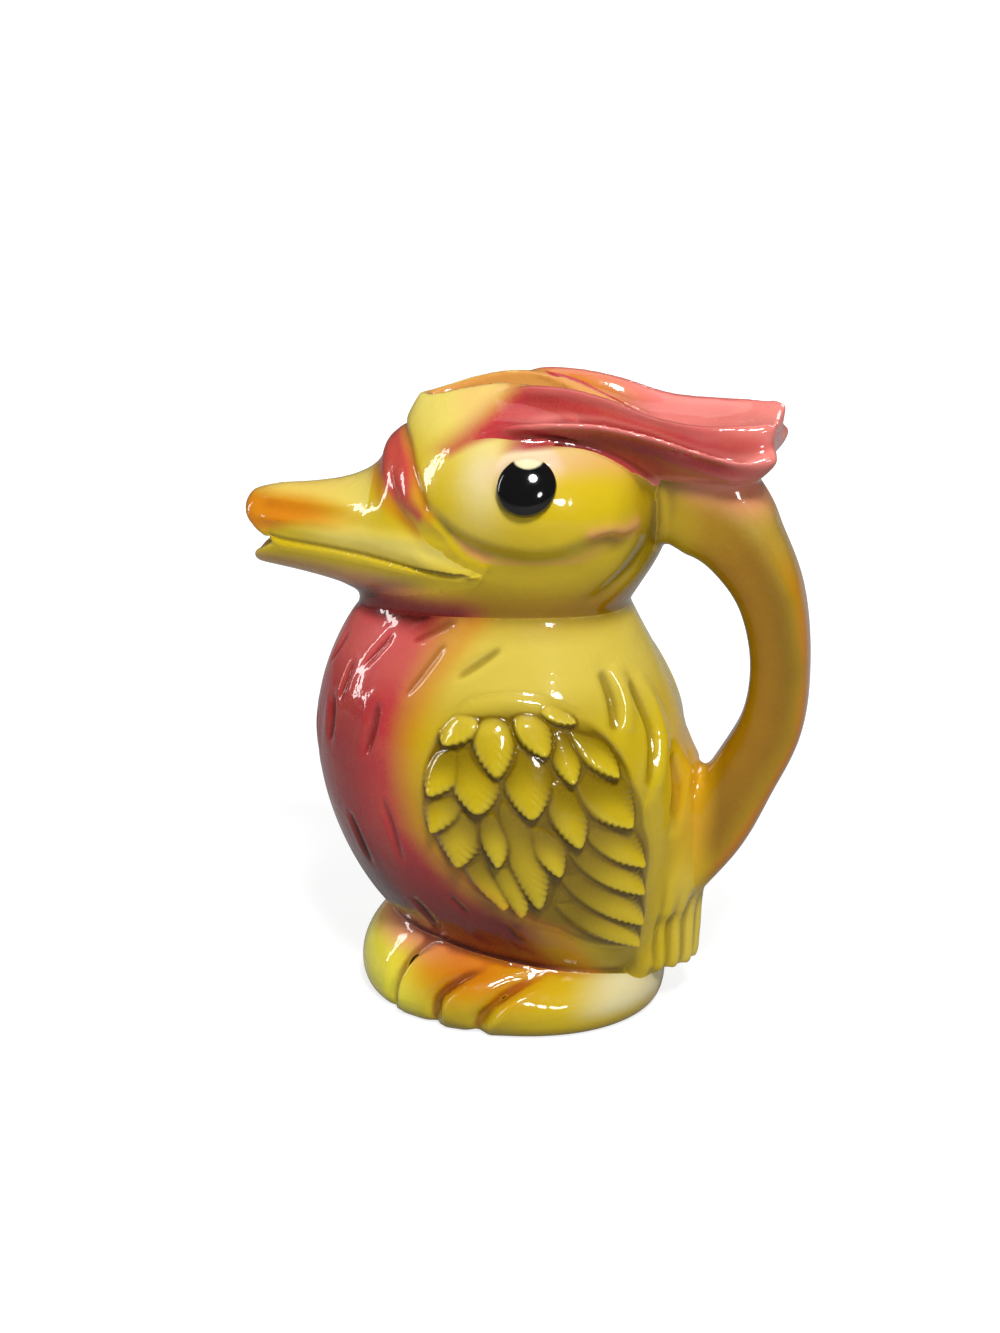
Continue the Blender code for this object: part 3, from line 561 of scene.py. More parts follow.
def place_eye(share, turn, seat, radius, low, dome):
    """A disc that stands on its seat with a domed face."""
    centre, outward, ahead, upward = seat
    bend = np.clip((share - 0.45) / 0.55, 0, 1) * np.pi / 2
    out = np.clip(share / 0.25, 0, 1) * np.cos(bend)
    lift = np.where(share < 0.25, low, low + (0.4 - low) * eased(0.25, 0.45, share))
    lift = lift + dome * np.sin(bend)
    ring = ahead * np.cos(turn)[:, None] + upward * np.sin(turn)[:, None]
    return centre + ring * (out * radius)[:, None] + outward * lift[:, None]


def activate(piece=None):
    """Goes back to Object Mode and selects one piece, or none."""
    if bpy.context.object and bpy.context.object.mode != "OBJECT":
        bpy.ops.object.mode_set(mode="OBJECT")
    bpy.ops.object.select_all(action="DESELECT")
    if piece:
        piece.select_set(True)
        bpy.context.view_layer.objects.active = piece


def spots(piece):
    """Where a piece's points are, in millimetres."""
    table = np.empty(len(piece.data.vertices) * 3, np.float64)
    piece.data.vertices.foreach_get("co", table)
    return table.reshape(-1, 3) / MM


def mirrored_spots(piece):
    """The same, with both sides laid on the near one."""
    table = spots(piece)
    table[:, 1] = -np.abs(table[:, 1])
    return table


def move_spots(piece, table):
    piece.data.vertices.foreach_set("co", (table * MM).ravel())
    piece.data.update()


def facings(piece):
    table = np.empty(len(piece.data.vertices) * 3, np.float32)
    piece.data.vertex_normals.foreach_get("vector", table)
    return table.reshape(-1, 3).astype(np.float64)


def note(piece, name, values):
    """Keeps a value for each point of a piece."""
    layer = piece.data.attributes.new(name, "FLOAT", "POINT")
    layer.data.foreach_set("value", values.astype(np.float32))


def noted(piece, name):
    values = np.empty(len(piece.data.vertices), np.float32)
    piece.data.attributes[name].data.foreach_get("value", values)
    return values


def clay_form(name, across, along, place, **settings):
    """A ball of clay whose rings are pushed to their places on a form."""
    activate()
    bpy.ops.mesh.primitive_uv_sphere_add(segments=across, ring_count=along, radius=1)
    form = bpy.context.object
    form.name = name
    ball = spots(form) * MM
    share = 1 - np.arccos(np.clip(ball[:, 2], -1, 1)) / np.pi
    turn = np.arctan2(ball[:, 1], ball[:, 0])
    move_spots(form, place(share, turn, **settings))
    bpy.ops.object.mode_set(mode="EDIT")
    bpy.ops.mesh.select_all(action="SELECT")
    bpy.ops.mesh.normals_make_consistent(inside=False)
    bpy.ops.object.mode_set(mode="OBJECT")
    return form


def apply_modifier(piece, kind, **settings):
    modifier = piece.modifiers.new(kind.lower(), kind)
    for key, value in settings.items():
        setattr(modifier, key, value)
    activate(piece)
    bpy.ops.object.modifier_apply(modifier=modifier.name)


def combine(piece, operation, *others):
    for other in others:
        apply_modifier(piece, "BOOLEAN", operation=operation, object=other, solver="MANIFOLD")
    if not piece.data.polygons:
        raise RuntimeError(f"nothing is left of {piece.name}")


def discard(*pieces):
    for piece in pieces:
        bpy.data.objects.remove(piece)


def neighbours(piece):
    table = np.empty(len(piece.data.edges) * 2, np.int32)
    piece.data.edges.foreach_get("vertices", table)
    pairs = table.reshape(-1, 2)
    count = np.bincount(pairs.ravel(), minlength=len(piece.data.vertices)).astype(float)
    return pairs, np.maximum(count, 1)


def averaged(values, pairs, count):
    """Each point's mean over its neighbours."""
    total = np.empty_like(values)
    one, other = pairs.T
    for axis in range(values.shape[1]):
        column = values[:, axis]
        total[:, axis] = np.bincount(one, column[other], len(column))
        total[:, axis] += np.bincount(other, column[one], len(column))
    return total / count[:, None]


def line_distance(table, line, reach=14.0):
    """Distance from points to a chain of stretches, their side of it and share along it."""
    line = np.array(line, float)
    best = np.full(len(table), 1e3)
    side = np.ones(len(table))
    along = np.zeros(len(table))
    close = ((table > line.min(0) - reach) & (table < line.max(0) + reach)).all(1)
    here = table[close]
    near_best, near_side, near_along = best[close], side[close], along[close]
    for number, (start, end) in enumerate(zip(line, line[1:])):
        step = end - start
        t = np.clip(((here - start) @ step) / (step @ step), 0, 1)
        offset = here - (start + t[:, None] * step)
        distance = np.sqrt((offset**2).sum(1))
        closer = distance < near_best
        turn = step[0] * offset[:, -1] - step[-1] * offset[:, 0]
        near_side = np.where(closer, np.sign(turn), near_side)
        near_along = np.where(closer, (number + t) / (len(line) - 1), near_along)
        near_best = np.minimum(distance, near_best)
    best[close], side[close], along[close] = near_best, near_side, near_along
    return best, side, along


def smooth_line(marks, steps=6):
    table = np.array(marks, float)
    return through(table, np.linspace(0, 1, (len(table) - 1) * steps + 1))


def on_body(marks):
    """A smooth line on the body's near side, from turns and heights."""
    turn, height = smooth_line(marks).T
    x, y = body_at(np.radians(turn), height)
    return np.stack([x, -y, height], 1)


def feather_relief(turn, height):
    """Relief of the wing: leaves that lap over each other, highest at the tip, and their barbs."""
    best = np.zeros(len(turn))
    barbs = np.zeros(len(turn))
    here = np.stack([turn * MM_PER_DEGREE, height], 1)
    for root_turn, root_height, tip_turn, tip_height, half in FEATHERS:
        root = np.array([root_turn * MM_PER_DEGREE, root_height])
        shaft = np.array([tip_turn * MM_PER_DEGREE, tip_height]) - root
        length = np.hypot(*shaft)
        step = shaft / length
        along = ((here - root) @ step) / length
        off = (here[:, 0] - root[0]) * step[1] - (here[:, 1] - root[1]) * step[0]
        off = off + 0.10 * length * (np.clip(along, 0, 1) - 0.5) ** 2
        top_row = eased(102, 109, root_height)
        barb = np.abs(off) * 0.75 - along * length * 0.55
        ragged = 1 + 0.07 * np.sin(BARB_PITCH * barb) * eased(0.45, 0.80, along)
        outline = half * 1.20 * np.sin(np.pi * np.clip(along, 0.002, 0.998) ** 0.95) ** 0.75
        outline = np.maximum(outline * ragged, 0.3)
        lower = off * np.sign(step[0]) / outline
        dome = np.clip(1 - (np.abs(off) / outline) ** 2, 0, 1) ** 0.9
        shingle = 0.25 + 0.75 * eased(-1.0, 0.55, lower)
        shingle = shingle * falling(0.66, 1.06, lower) * eased(-1.1, -0.7, lower)
        slant = min(1.0, 1.5 * abs(step[0]))
        blade = dome * (1 - slant) + shingle * slant
        blade = blade * eased(-0.05, 0.08 + 0.34 * top_row, along) * falling(0.90, 1.04, along)
        base = 0.12 + 0.50 * top_row
        rise = (base + (1 - base) * np.clip(along, 0, 1) ** 1.55) * blade
        barbs = np.where(rise > best, barb, barbs)
        best = np.maximum(rise, best)
    return best, barbs


def carve(clay):
    """Moves the skin along its facing for every mark, lobe and feather modelled in the clay."""
    sizes = bpy.context.scene.pitcher_sizes
    table = spots(clay)
    face = facings(clay)
    near_side = mirrored_spots(clay)
    side_view = near_side[:, [0, 2]]
    x, y, z = near_side.T
    body_turn = turn_round(body_at, near_side)
    body_miss = np.hypot(x, y) - np.hypot(*body_at(body_turn, z))
    degrees = np.degrees(body_turn)
    head_turn = turn_round(head_at, near_side)
    head_miss = np.hypot(x, y) - np.hypot(*head_at(head_turn, z))
    above_waist = z - waist_height(body_turn)
    above_neck = z - neck_height(body_turn)
    on_skin = falling(1.6, 3.0, np.abs(body_miss)) * eased(-1.0, 1.5, above_waist)
    on_skin = on_skin * eased(-1.0, 1.5, -above_neck)
    on_head = falling(1.8, 3.2, np.abs(head_miss)) * eased(-1.0, 1.5, above_neck)
    push = np.zeros(len(table))

    def off_line(marks, points=near_side, reach=14.0):
        """Distance to a line, the same with its side as a sign, and the share along it."""
        away, side, along = line_distance(points, smooth_line(marks), reach)
        return away, -away * side, along

    # Wings: a swelling with feathers on it
    edge = wing_edge(degrees, z)
    wing = (edge < 2.0) & (on_skin > 0)
    relief = np.zeros(len(table))
    barbs = np.zeros(len(table))
    relief[wing], barbs[wing] = feather_relief(degrees[wing], z[wing])
    relief = np.maximum(relief, 0.46 * eased(96, 109, z) * eased(-12, -2, edge))
    soft = 3.0 + 7.0 * eased(84, 108, z)
    swelling = sizes.wing_swell / MM * falling(-soft, 0.8, edge)
    inside = falling(-2.6, 0.4, edge)
    push += on_skin * (swelling + inside * sizes.feather_depth / MM * (relief - 0.34))
    note(clay, "barbs", barbs)
    note(clay, "barb_amount", inside * on_skin * eased(0.30, 0.62, relief))
    # The wing's recesses, which the spraying darkens with olive as painted shade, partly pooled
    # glaze
    note(clay, "recess", inside * on_skin * falling(0.08, 0.56, relief))

    # Breast: comma marks with a raised lip, and creases in the back
    for *marks, width, depth in BREAST_MARKS:
        away, side, along = line_distance(near_side, on_body(marks))
        taper = np.sin(np.pi * np.clip(along * 0.86 + 0.10, 0, 1)) ** 0.6
        dip = near(away, 0, width * (0.4 + 0.7 * taper))
        push -= on_skin * depth * taper * (dip - 0.25 * near(away, 2.4 * width, 1.2 * width))
    for marks in BACK_CREASES:
        away, side, along = line_distance(near_side, on_body(marks))
        taper = np.sin(np.pi * np.clip(along, 0.03, 0.97)) ** 0.8
        dip = 2.4 * near(away * side, 0.0, 2.2) - 1.1 * near(away * side, 4.6, 3.0)
        push -= on_skin * taper * dip

    # Face: eyeball over a hollow cheek, a fold behind it and the disc's edge
    away, below, along = off_line(EYEBALL_EDGE, side_view, 30.0)
    fade = on_head * eased(-27, -14, x) * falling(30, 38, x)
    push += fade * (eased(-2.2, 2.6, -below) * fading(-below, 12) - 1.5 * near(below, 5.4, 5.0))
    away, off, along = off_line(CHEEK_FOLD)
    push += on_head * 1.1 * near(away, 0, 2.0) * np.sin(np.pi * np.clip(along, 0.1, 0.9)) ** 0.5
    away, off, along = off_line(FACE_EDGE, side_view, 20.0)
    fade = on_head * eased(0.0, 0.15, along) * falling(0.80, 1.0, along)
    ridge = 0.7 * eased(-2.0, 1.8, off) * fading(off, 7)
    push += fade * (ridge - 0.9 * near(off, -2.4, 2.2) + 0.5 * near(off, -6.0, 2.4))

    # Bill: swollen root with a groove behind it, flare over the cheek, lip, scoop and mouth
    away, off, along = off_line(CERE_MIDDLE)
    push += 1.9 * near(away, 0, 5.0) * (1 - 0.7 * eased(0.75, 1.0, along)) * eased(150, 160, z)
    away, off, along = off_line(CERE_REAR)
    push -= 1.2 * near(away, 0, 1.6) * falling(0.85, 1.0, along)
    away, off, along = off_line(BILL_FLARE)
    fade = (away < 14) * eased(0.0, 0.2, along) * falling(0.85, 1.0, along)
    push += fade * (0.9 * eased(-1.8, 1.2, off) * fading(off, 5.0) - 0.4 * near(off, -2.6, 2.2))
    away, off, along = off_line(BILL_LIP)
    push += 0.45 * near(away, 0, 2.4) * eased(0, 0.1, along)
    away, off, along = off_line(BILL_SCOOP)
    fade = (x < -40) * eased(0.0, 0.22, along) * falling(0.60, 1.0, along)
    push -= 0.95 * fade * (near(away, 0, 1.9) - 0.45 * near(away, 3.6, 1.3))
    away, off, along = off_line(MOUTH_LINE)
    fade = eased(0.0, 0.08, along) * falling(0.86, 1.0, along)
    push -= fade * (1.1 * near(off, -0.9, 1.1) + 0.5 * near(off, -2.6, 1.8))

    # Toes: each rises out of the groove before it
    on_foot = falling(0.5, 2.0, above_waist) * (z < 30) * (0.25 + 0.75 * eased(0, 8, z))
    for groove in TOE_GROOVES:
        away, off, along = off_line(groove)
        toe = 2.0 * eased(-0.8, 3.2, off) * fading(off - 3.0, 5.0)
        dip = sizes.toe_depth / MM * near(off, -1.2, 2.5)
        push += on_foot * falling(0.50, 1.0, along) * (toe - dip)

    # Tail: flutes that run together upward
    fan = np.arctan2(y, x - 30.0)
    outward = face[:, 0] * np.cos(fan) - np.sign(table[:, 1]) * face[:, 1] * np.sin(fan)
    on_tail = eased(0.3, 0.7, outward) * eased(-52, -40, np.degrees(fan)) * (x > 36)
    on_tail = on_tail * falling(24, 52, z) * eased(12.5, 14.5, z)
    push += on_tail * 0.75 * np.cos(fan * 28.0)

    table = table + face * push[:, None]
    table[:, 2] = np.maximum(table[:, 2], 0.0)
    move_spots(clay, table)


def metres(name, text, default):
    return FloatProperty(name=name, description=text, default=default, unit="LENGTH")


class PitcherSizes(bpy.types.PropertyGroup):
    wall: metres("Wall", "Thickness of the clay wall", 0.0040)
    floor: metres("Floor", "Thickness of the floor", 0.0050)
    lip: metres("Lip", "Thickness of the wall at the rim", 0.0027)
    grain: metres("Grain", "Fineness of the clay skin", 0.00071)
    fillet: IntProperty(
        name="Seam wiping", description="Rounds of wiping that fill the seams", default=22
    )
    wing_swell: metres("Wing swell", "How far a wing stands out under its feathers", 0.0020)
    feather_depth: metres("Feather depth", "Relief of the wing feathers", 0.0044)
    toe_depth: metres("Toe depth", "Depth of the grooves between the toes", 0.0036)
    eye_radius: metres("Eye radius", "Radius of an eye", 0.0084)
    eye_dome: metres("Eye dome", "Height of an eye's dome", 0.0034)
    eye_seat: metres("Eye seat", "Depth of an eye's socket", 0.0020)


def glaze_colour(name, text, *display):
    """A colour property whose default is written as display values from 0 to 255."""
    linear = [((v / 255 + 0.055) / 1.055) ** 2.4 if v > 10 else v / 255 / 12.92 for v in display]
    return FloatVectorProperty(
        name=name, description=text, subtype="COLOR", size=3, min=0, max=1, default=linear
    )


class PitcherColours(bpy.types.PropertyGroup):
    yellow: glaze_colour("Yellow", "Ground glaze", 208, 179, 24)
    # Lemon is also sprayed as painted light on the tops of the head, shoulders, bill and crest
    lemon: glaze_colour("Lemon", "Thin pale glaze on the head and shoulders", 232, 213, 108)
    # Lime is also sprayed as a painted highlight on the wings' raised parts
    lime: glaze_colour("Lime", "Green-yellow glaze on the plinth", 238, 228, 66)
    # Cream is also sprayed as painted light on the shaded inside of the head
    cream: glaze_colour("Cream", "Bare pale clay under clear glaze", 226, 216, 172)
    # Olive is also sprayed as painted shade in hollows, wing recesses, low down and at joints,
    # together with glaze that pools there
    olive: glaze_colour("Olive", "Glaze that pools in hollows", 112, 88, 1)
    # Amber is also sprayed as painted shade at the neck crease and where the head meets the handle
    amber: glaze_colour("Amber", "Thick yellow on the handle", 153, 106, 1)
    orange: glaze_colour("Orange", "Sprayed orange", 206, 113, 15)
    rose: glaze_colour("Rose", "Sprayed rose", 190, 57, 61)
    # Pink is also sprayed as painted highlights on the crest's ridges and as painted light on the
    # upper breast
    pink: glaze_colour("Pink", "Thin rose on the crest and plinth", 230, 130, 120)
    # Maroon is sprayed as painted shade low on the body, in hollows, under the head, the bill and
    # the crest's lobes, and in the crest's channels
    maroon: glaze_colour("Maroon", "Thick rose in shaded places", 72, 14, 8)
    black: glaze_colour("Black", "Eye glaze", 12, 12, 13)
    floor: glaze_colour("Floor", "Studio floor", 152, 152, 152)


def feed(tree, made, inputs):
    """Gives a node's inputs their values, or the outputs of other nodes."""
    for key, value in inputs.items():
        if isinstance(value, bpy.types.NodeSocket):
            tree.links.new(value, made.inputs[key])
        else:
            made.inputs[key].default_value = value


def node(tree, kind, inputs=(), **settings):
    made = tree.nodes.new("ShaderNode" + kind)
    for key, value in settings.items():
        setattr(made, key, value)
    feed(tree, made, dict(inputs))
    return made


def sum_node(tree, operation, *inputs, **settings):
    """Output of a Math node."""
    made = node(tree, "Math", enumerate(inputs), operation=operation, **settings)
    return made.outputs[0]


def mixed(tree, factor, colour, other):
    inputs = {MIX_FACTOR: factor, MIX_A: colour, MIX_B: other}
    return node(tree, "Mix", inputs, data_type="RGBA").outputs[MIX_RESULT]


def stretched(tree, value, low, high, start=0.0, end=1.0):
    """Output of a Map Range node that takes start to low and end to high."""
    ends = {"From Min": start, "From Max": end, "To Min": low, "To Max": high}
    return node(tree, "MapRange", {"Value": value, **ends}).outputs[0]


def new_material(name):
    material = bpy.data.materials.new(name)
    material.use_nodes = True
    tree = material.node_tree
    return material, tree, tree.nodes["Principled BSDF"]


def glaze_material(name):
    """Sprayed coats over a yellow ground, under a clear glaze with a slight ripple."""
    colours = bpy.context.scene.pitcher_colours
    material, tree, shader = new_material(name)
    place = node(tree, "TexCoord").outputs["Object"]
    speckle, cloud, ripple = (
        node(tree, "TexNoise", {"Scale": scale, "Detail": detail, "Vector": place}).outputs["Fac"]
        for scale, detail in ((1400, 3), (90, 4), (240, 2))
    )
    uneven = stretched(tree, sum_node(tree, "ADD", speckle, cloud), 0.93, 1.06, 0.7, 1.3)
    colour = (*colours.yellow, 1)
    # The coats' masks also carry painted light on tops and ridges and painted shade in hollows and
    # creases
    for coat in COATS:
        mask = node(tree, "Attribute", attribute_name=coat).outputs["Fac"]
        amount = sum_node(tree, "MULTIPLY", mask, uneven, use_clamp=True)
        colour = mixed(tree, amount, colour, (*getattr(colours, coat), 1))
    wavy = {"Strength": 0.42, "Distance": 0.0004, "Height": ripple}
    wavy = node(tree, "Bump", wavy).outputs["Normal"]
    barbs = node(tree, "Attribute", attribute_name="barbs").outputs["Fac"]
    amount = node(tree, "Attribute", attribute_name="barb_amount").outputs["Fac"]
    streaks = sum_node(tree, "SINE", sum_node(tree, "MULTIPLY", barbs, BARB_PITCH))
    streaks = sum_node(tree, "MULTIPLY", streaks, amount)
    combed = {"Strength": 0.22, "Distance": 0.00012, "Height": streaks, "Normal": wavy}
    settings = {
        "Base Color": colour,
        "Roughness": stretched(tree, cloud, 0.16, 0.36),
        "Normal": node(tree, "Bump", combed).outputs["Normal"],
        "Coat Weight": 0.80,
        "Coat Roughness": 0.05,
        "Coat Normal": wavy,
        "Specular IOR Level": 0.10,
        "IOR": 1.5,
    }
    feed(tree, shader, settings)
    return material


def skin_of(piece):
    """What the spraying looks at: places on the near side, turns, hollows and the crest's lines."""
    table = mirrored_spots(piece)
    x, y, z = table.T
    stations, trough, spacing, ridge, lobe, lobe_height, keel = np.array(CREST).T
    lobe_height = np.interp(x, stations, lobe_height)
    hollow = noted(piece, "hollow")
    return SimpleNamespace(
        table=table,
        x=x,
        y=y,
        z=z,
        turn=np.degrees(turn_round(body_at, table)),
        # Hollows are darkened as pooled glaze and painted shade, raised parts lightened as painted
        # highlights
        pool_and_shade=np.clip(hollow, 0, 1),
        raised=np.clip(-hollow, 0, 1),
        recess=noted(piece, "recess"),
        above=z - lobe_height,
        spacing=np.interp(x, stations, spacing),
        ridge_rise=np.interp(x, stations, ridge) - lobe_height,
    )


def spray_body(skin):
    """Rose breast that runs into a yellow back along a line in front of the wing, lighter on the
    shoulders, upper breast and raised feathers as painted light, and darker low down, at the neck
    and in hollows as painted shade.
    """
    x, z, turn, pool_and_shade = skin.x, skin.z, skin.turn, skin.pool_and_shade
    heights, edges, fulls = np.array(ROSE_EDGE).T
    edge = np.interp(z, heights, edges)
    rose = eased(edge - 2, np.interp(z, heights, fulls) + 4, turn)
    bare = 1 - rose
    wing = near(turn, 72, 46) * falling(106, 116, z)
    joint = eased(54, 63, x) * eased(34, 48, z) * falling(84, 96, z)
    # Painted shade over some darker rose glaze: maroon low on the body and on the front, which is
    # turned from the light
    belly = 0.75 * falling(30, 74, z) + 0.4 * eased(120, 140, turn) * falling(90, 122, z)
    # Painted shade under the head at the front of the neck crease
    neck_shade = 0.8 * eased(124, 130, z) * falling(-30, -4, x)
    # Painted light: the shoulders lighter where they face the light
    shoulder = eased(96, 118, z)
    spine = falling(8, 26, turn) * near(z, 72, 24)
    # Painted shade low on the body near the waist, in front of the tail
    hem = 0.35 * falling(18, 30, z) * falling(30, 44, x)
    return {
        "lemon": bare * (0.50 * shoulder + 0.35 * eased(46, 53, x) * falling(40, 60, z)),
        # Painted highlight: lime on the raised parts of the wing
        "lime": 0.22 * bare * wing * skin.raised,
        # Amber where the handle's foot meets the back; at the top it is painted shade under the
        # head
        "amber": 0.85 * joint + 0.40 * eased(124, 131, z) * bare,
        # Olive: painted shade in the wing's recesses and hollows, partly pooled glaze, and low down
        "olive": bare * (0.24 * wing + 0.66 * skin.recess + 0.50 * pool_and_shade + 0.10 * shoulder + hem),
        "orange": 0.45 * near(turn, edge + 2, 5.5) * (z < 134) + 0.45 * spine,
        "rose": rose,
        # Painted light: the upper breast lighter pink away from the hollows
        "pink": 0.30 * rose * eased(102, 118, z) * falling(122, 130, z) * (1 - pool_and_shade),
        # Maroon: painted shade low down, on the front, in hollows and under the head
        "maroon": rose * (belly + 0.4 * pool_and_shade + neck_shade),
    }


def spray_plinth(skin):
    """Lime front, orange toes and a pale rear, with painted shade along the bottom edge, on the
    rear top under the body and in the toe grooves.
    """
    x, z, pool_and_shade = skin.x, skin.z, skin.pool_and_shade
    # Orange toes, deeper in the grooves as pooled glaze and painted shade
    toes = np.clip(0.95 * near(x, -12, 24) * eased(5, 19, z) + 0.5 * pool_and_shade, 0, 1)
    return {
        "lime": falling(-34, -18, x),
        "cream": 0.85 * eased(18, 36, x) * eased(3, 9, z),
        # Painted shade: olive along the bottom edge and on the top at the rear under the body
        "olive": 0.5 * falling(0, 5, z) + 0.4 * eased(-10, 30, x) * eased(14, 24, z),
        "orange": toes * (1 - 0.6 * falling(-40, -22, x)) * falling(14, 34, x),
        "rose": 0.4 * near(x, -36, 12) * eased(22, 27, z),
        "pink": 0.7 * near(x, -34, 16) * eased(17, 24, z),
        # Painted shade in the toe grooves, partly pooled glaze
        "maroon": 0.60 * pool_and_shade * near(x, -15, 30),
    }


def spray_handle(skin):
    """Amber loop with an orange outer edge, pink under the crest; a lighter upper outer face is
    painted light, and olive at the joints, along the middle and in hollows and maroon just under
    the crest are painted shade.
    """
    x, z, above = skin.x, skin.z, skin.above
    middle = [station[:2] for station in HANDLE]
    away, side, along = line_distance(skin.table[:, [0, 2]], middle)
    off = away * side
    outer = eased(1, 9, off)
    foot = falling(54, 63, x) * falling(96, 110, z)
    loop = 1 - foot
    amber = (1 - 0.25 * falling(0.06, 0.30, along)) * (1 - 0.30 * outer)
    # Painted shade: olive near the foot, at the head's joint, along the middle of the near face and
    # in hollows
    olive = 0.45 * (1 - outer) * near(along, 0.90, 0.12) + 0.36 * falling(40, 56, x)
    olive += 0.55 * near(along, 0.46, 0.22) * near(off, 4.0, 4.0) + 0.5 * skin.pool_and_shade
    edge = eased(6.4, 9.2, off) * eased(0.22, 0.48, along) * falling(0.86, 1.0, along)
    return {
        # Painted highlight on the upper part of the outer face
        "lemon": loop * 0.75 * outer * near(along, 0.20, 0.12),
        "amber": loop * amber * (1 - 0.60 * falling(42, 58, x) * (z > 130)),
        "olive": loop * olive,
        "orange": loop * 0.60 * edge + 0.45 * foot * near(z, 72, 24),
        "pink": 0.80 * eased(-24, -9, above) * eased(40, 54, x) * (0.55 + 0.45 * outer),
        # Painted shade just under the crest
        "maroon": 0.5 * eased(-11, -5, above) * (1 - 0.6 * eased(46, 62, x)),
    }


def bill_root(table):
    """Rose on the bill's swollen root, and how far each point lies past the root's edge."""
    away, side, along = line_distance(table, smooth_line(CERE_MIDDLE))
    past = away - (6.4 - 4.2 * eased(0.50, 1.0, along))
    return 0.95 * falling(-2.4, 1.8, past), past


def spray_head(skin):
    """Yellow head with pale temples, the crest's rose running onto it and an orange inside; a
    lighter top and a paler inside are painted light, and the darker jaw, neck crease, handle joint,
    throat, band under the locks and hollows are painted shade.
    """
    x, y, z, above, table = skin.x, skin.y, skin.z, skin.above, skin.table
    depth = np.hypot(*head_at(turn_round(head_at, table), z)) - np.hypot(x, y)
    outside = np.maximum(falling(1.0, 2.2, depth), eased(10.5, 12.5, -y) * (z > 172))
    inside = (1 - outside) * (z > 150)
    eye = np.hypot(x - EYE_PLACE[0], z - EYE_PLACE[1])
    lid = 0.7 * falling(9.2, 12.0, eye) * eased(175, 181, z)
    temple = 0.55 * near(x, -6, 7) * near(z, 175, 12)
    brow = 0.45 * near(above, -9.0, 4.0) * near(x, 10, 16)
    lock = eased(-3.4, 0.4, above) * eased(-22, -8, x - 1.1 * (z - 185)) * outside
    # Rose band under the locks' lower ridge, darkened with maroon as painted shade to match the
    # crest
    shaded_band = eased(-7.4, -5.6, above) * falling(-1, 1, above) * eased(-4, 6, x) * outside
    under_lock = eased(-9.5, -6.5, above) * eased(-24, -14, x)
    blush = 0.32 * near(above, -10.0, 4.0) * eased(-12, 4, x)
    blush += 0.25 * eased(-24, -13, x) * eased(184, 192, z)
    # Painted shade on the lower cheek
    jaw = 0.40 * near(z, 148, 10) * eased(-26, 4, x)
    # Painted shade just above the neck crease and where the head meets the handle
    neck_shade = 0.90 * falling(134, 148, z) * eased(-26, -4, x)
    nape = 0.36 * eased(30, 43, x) * eased(148, 156, z) * falling(172, 184, z)
    # Rose under the bill, darkened with maroon as painted shade
    throat = falling(131, 141, z) * falling(-16, -2, x)
    fold = line_distance(table, smooth_line(CHEEK_FOLD))[0]
    groove = line_distance(table, smooth_line(CERE_REAR))[0]
    root, past = bill_root(table)
    # Pooled glaze and painted shade in the hollows, less under the locks
    pool_and_shade = 0.55 * skin.pool_and_shade * (1 - under_lock)
    return {
        # Painted light: the top of the head lighter
        "lemon": 0.90 * eased(174, 190, z) * (1 - 0.5 * eased(0, 30, x)) * outside,
        # Cream on the inside is painted light over its orange
        "cream": (temple + brow) * outside + 0.45 * inside + lid,
        "amber": (neck_shade + nape) * outside,
        # Olive: painted shade on the jaw, in hollows and at the rear by the handle's root
        "olive": (jaw + pool_and_shade) * outside + 0.36 * eased(28, 42, x) * falling(170, 182, z),
        "orange": 0.5 * near(groove, 0, 2.6) * outside + 0.70 * inside,
        "rose": np.maximum(lock, shaded_band) + throat + root * outside,
        "pink": blush * outside * (1 - lock) + 0.5 * near(fold, 0, 2.4),
        # Maroon: painted shade in the band under the locks and under the bill
        "maroon": 0.32 * shaded_band + 0.10 * lock + 0.85 * throat,
    }


def spray_upper_bill(skin):
    """Yellow bill with a rose root and an orange tip, lighter on the crown and along the lip as
    painted light, with painted shade in its hollows.
    """
    x, z = skin.x, skin.z
    root, past = bill_root(skin.table)
    crown = eased(157, 161, z)
    drop = 4.5 * falling(-84, -64, x)
    tip = falling(-68, -42, x) * eased(150 - drop, 155 - drop, z) * (1 - 0.75 * crown)
    return {
        # Painted light on the crown and in a band along the lip
        "lemon": 0.8 * eased(-74, -50, x) * near(z, 151, 4) + 0.80 * crown * (x < -44),
        # Pooled glaze and painted shade in the hollows
        "olive": 0.6 * skin.pool_and_shade,
        "orange": 0.6 * near(past, 1.6, 2.6) + 0.85 * tip,
        "rose": root,
    }


def spray_lower_bill(skin):
    """The same, duller, with the throat's rose under it, and painted shade in its hollows and on
    its underside towards the throat.
    """
    x, z = skin.x, skin.z
    coats = spray_upper_bill(skin)
    muted = falling(-44, -20, x) * falling(138.5, 143, z)
    coats["cream"] = 0.16 * muted
    # Painted shade in the hollows, partly pooled glaze
    coats["olive"] = 0.18 + 0.5 * skin.pool_and_shade
    coats["rose"] = coats["rose"] + 0.6 * falling(133, 142, z) * eased(-66, -46, x)
    coats["pink"] = 0.26 * muted
    # Painted shade on the underside towards the throat
    coats["maroon"] = falling(131, 138, z) * eased(-62, -44, x)
    return coats


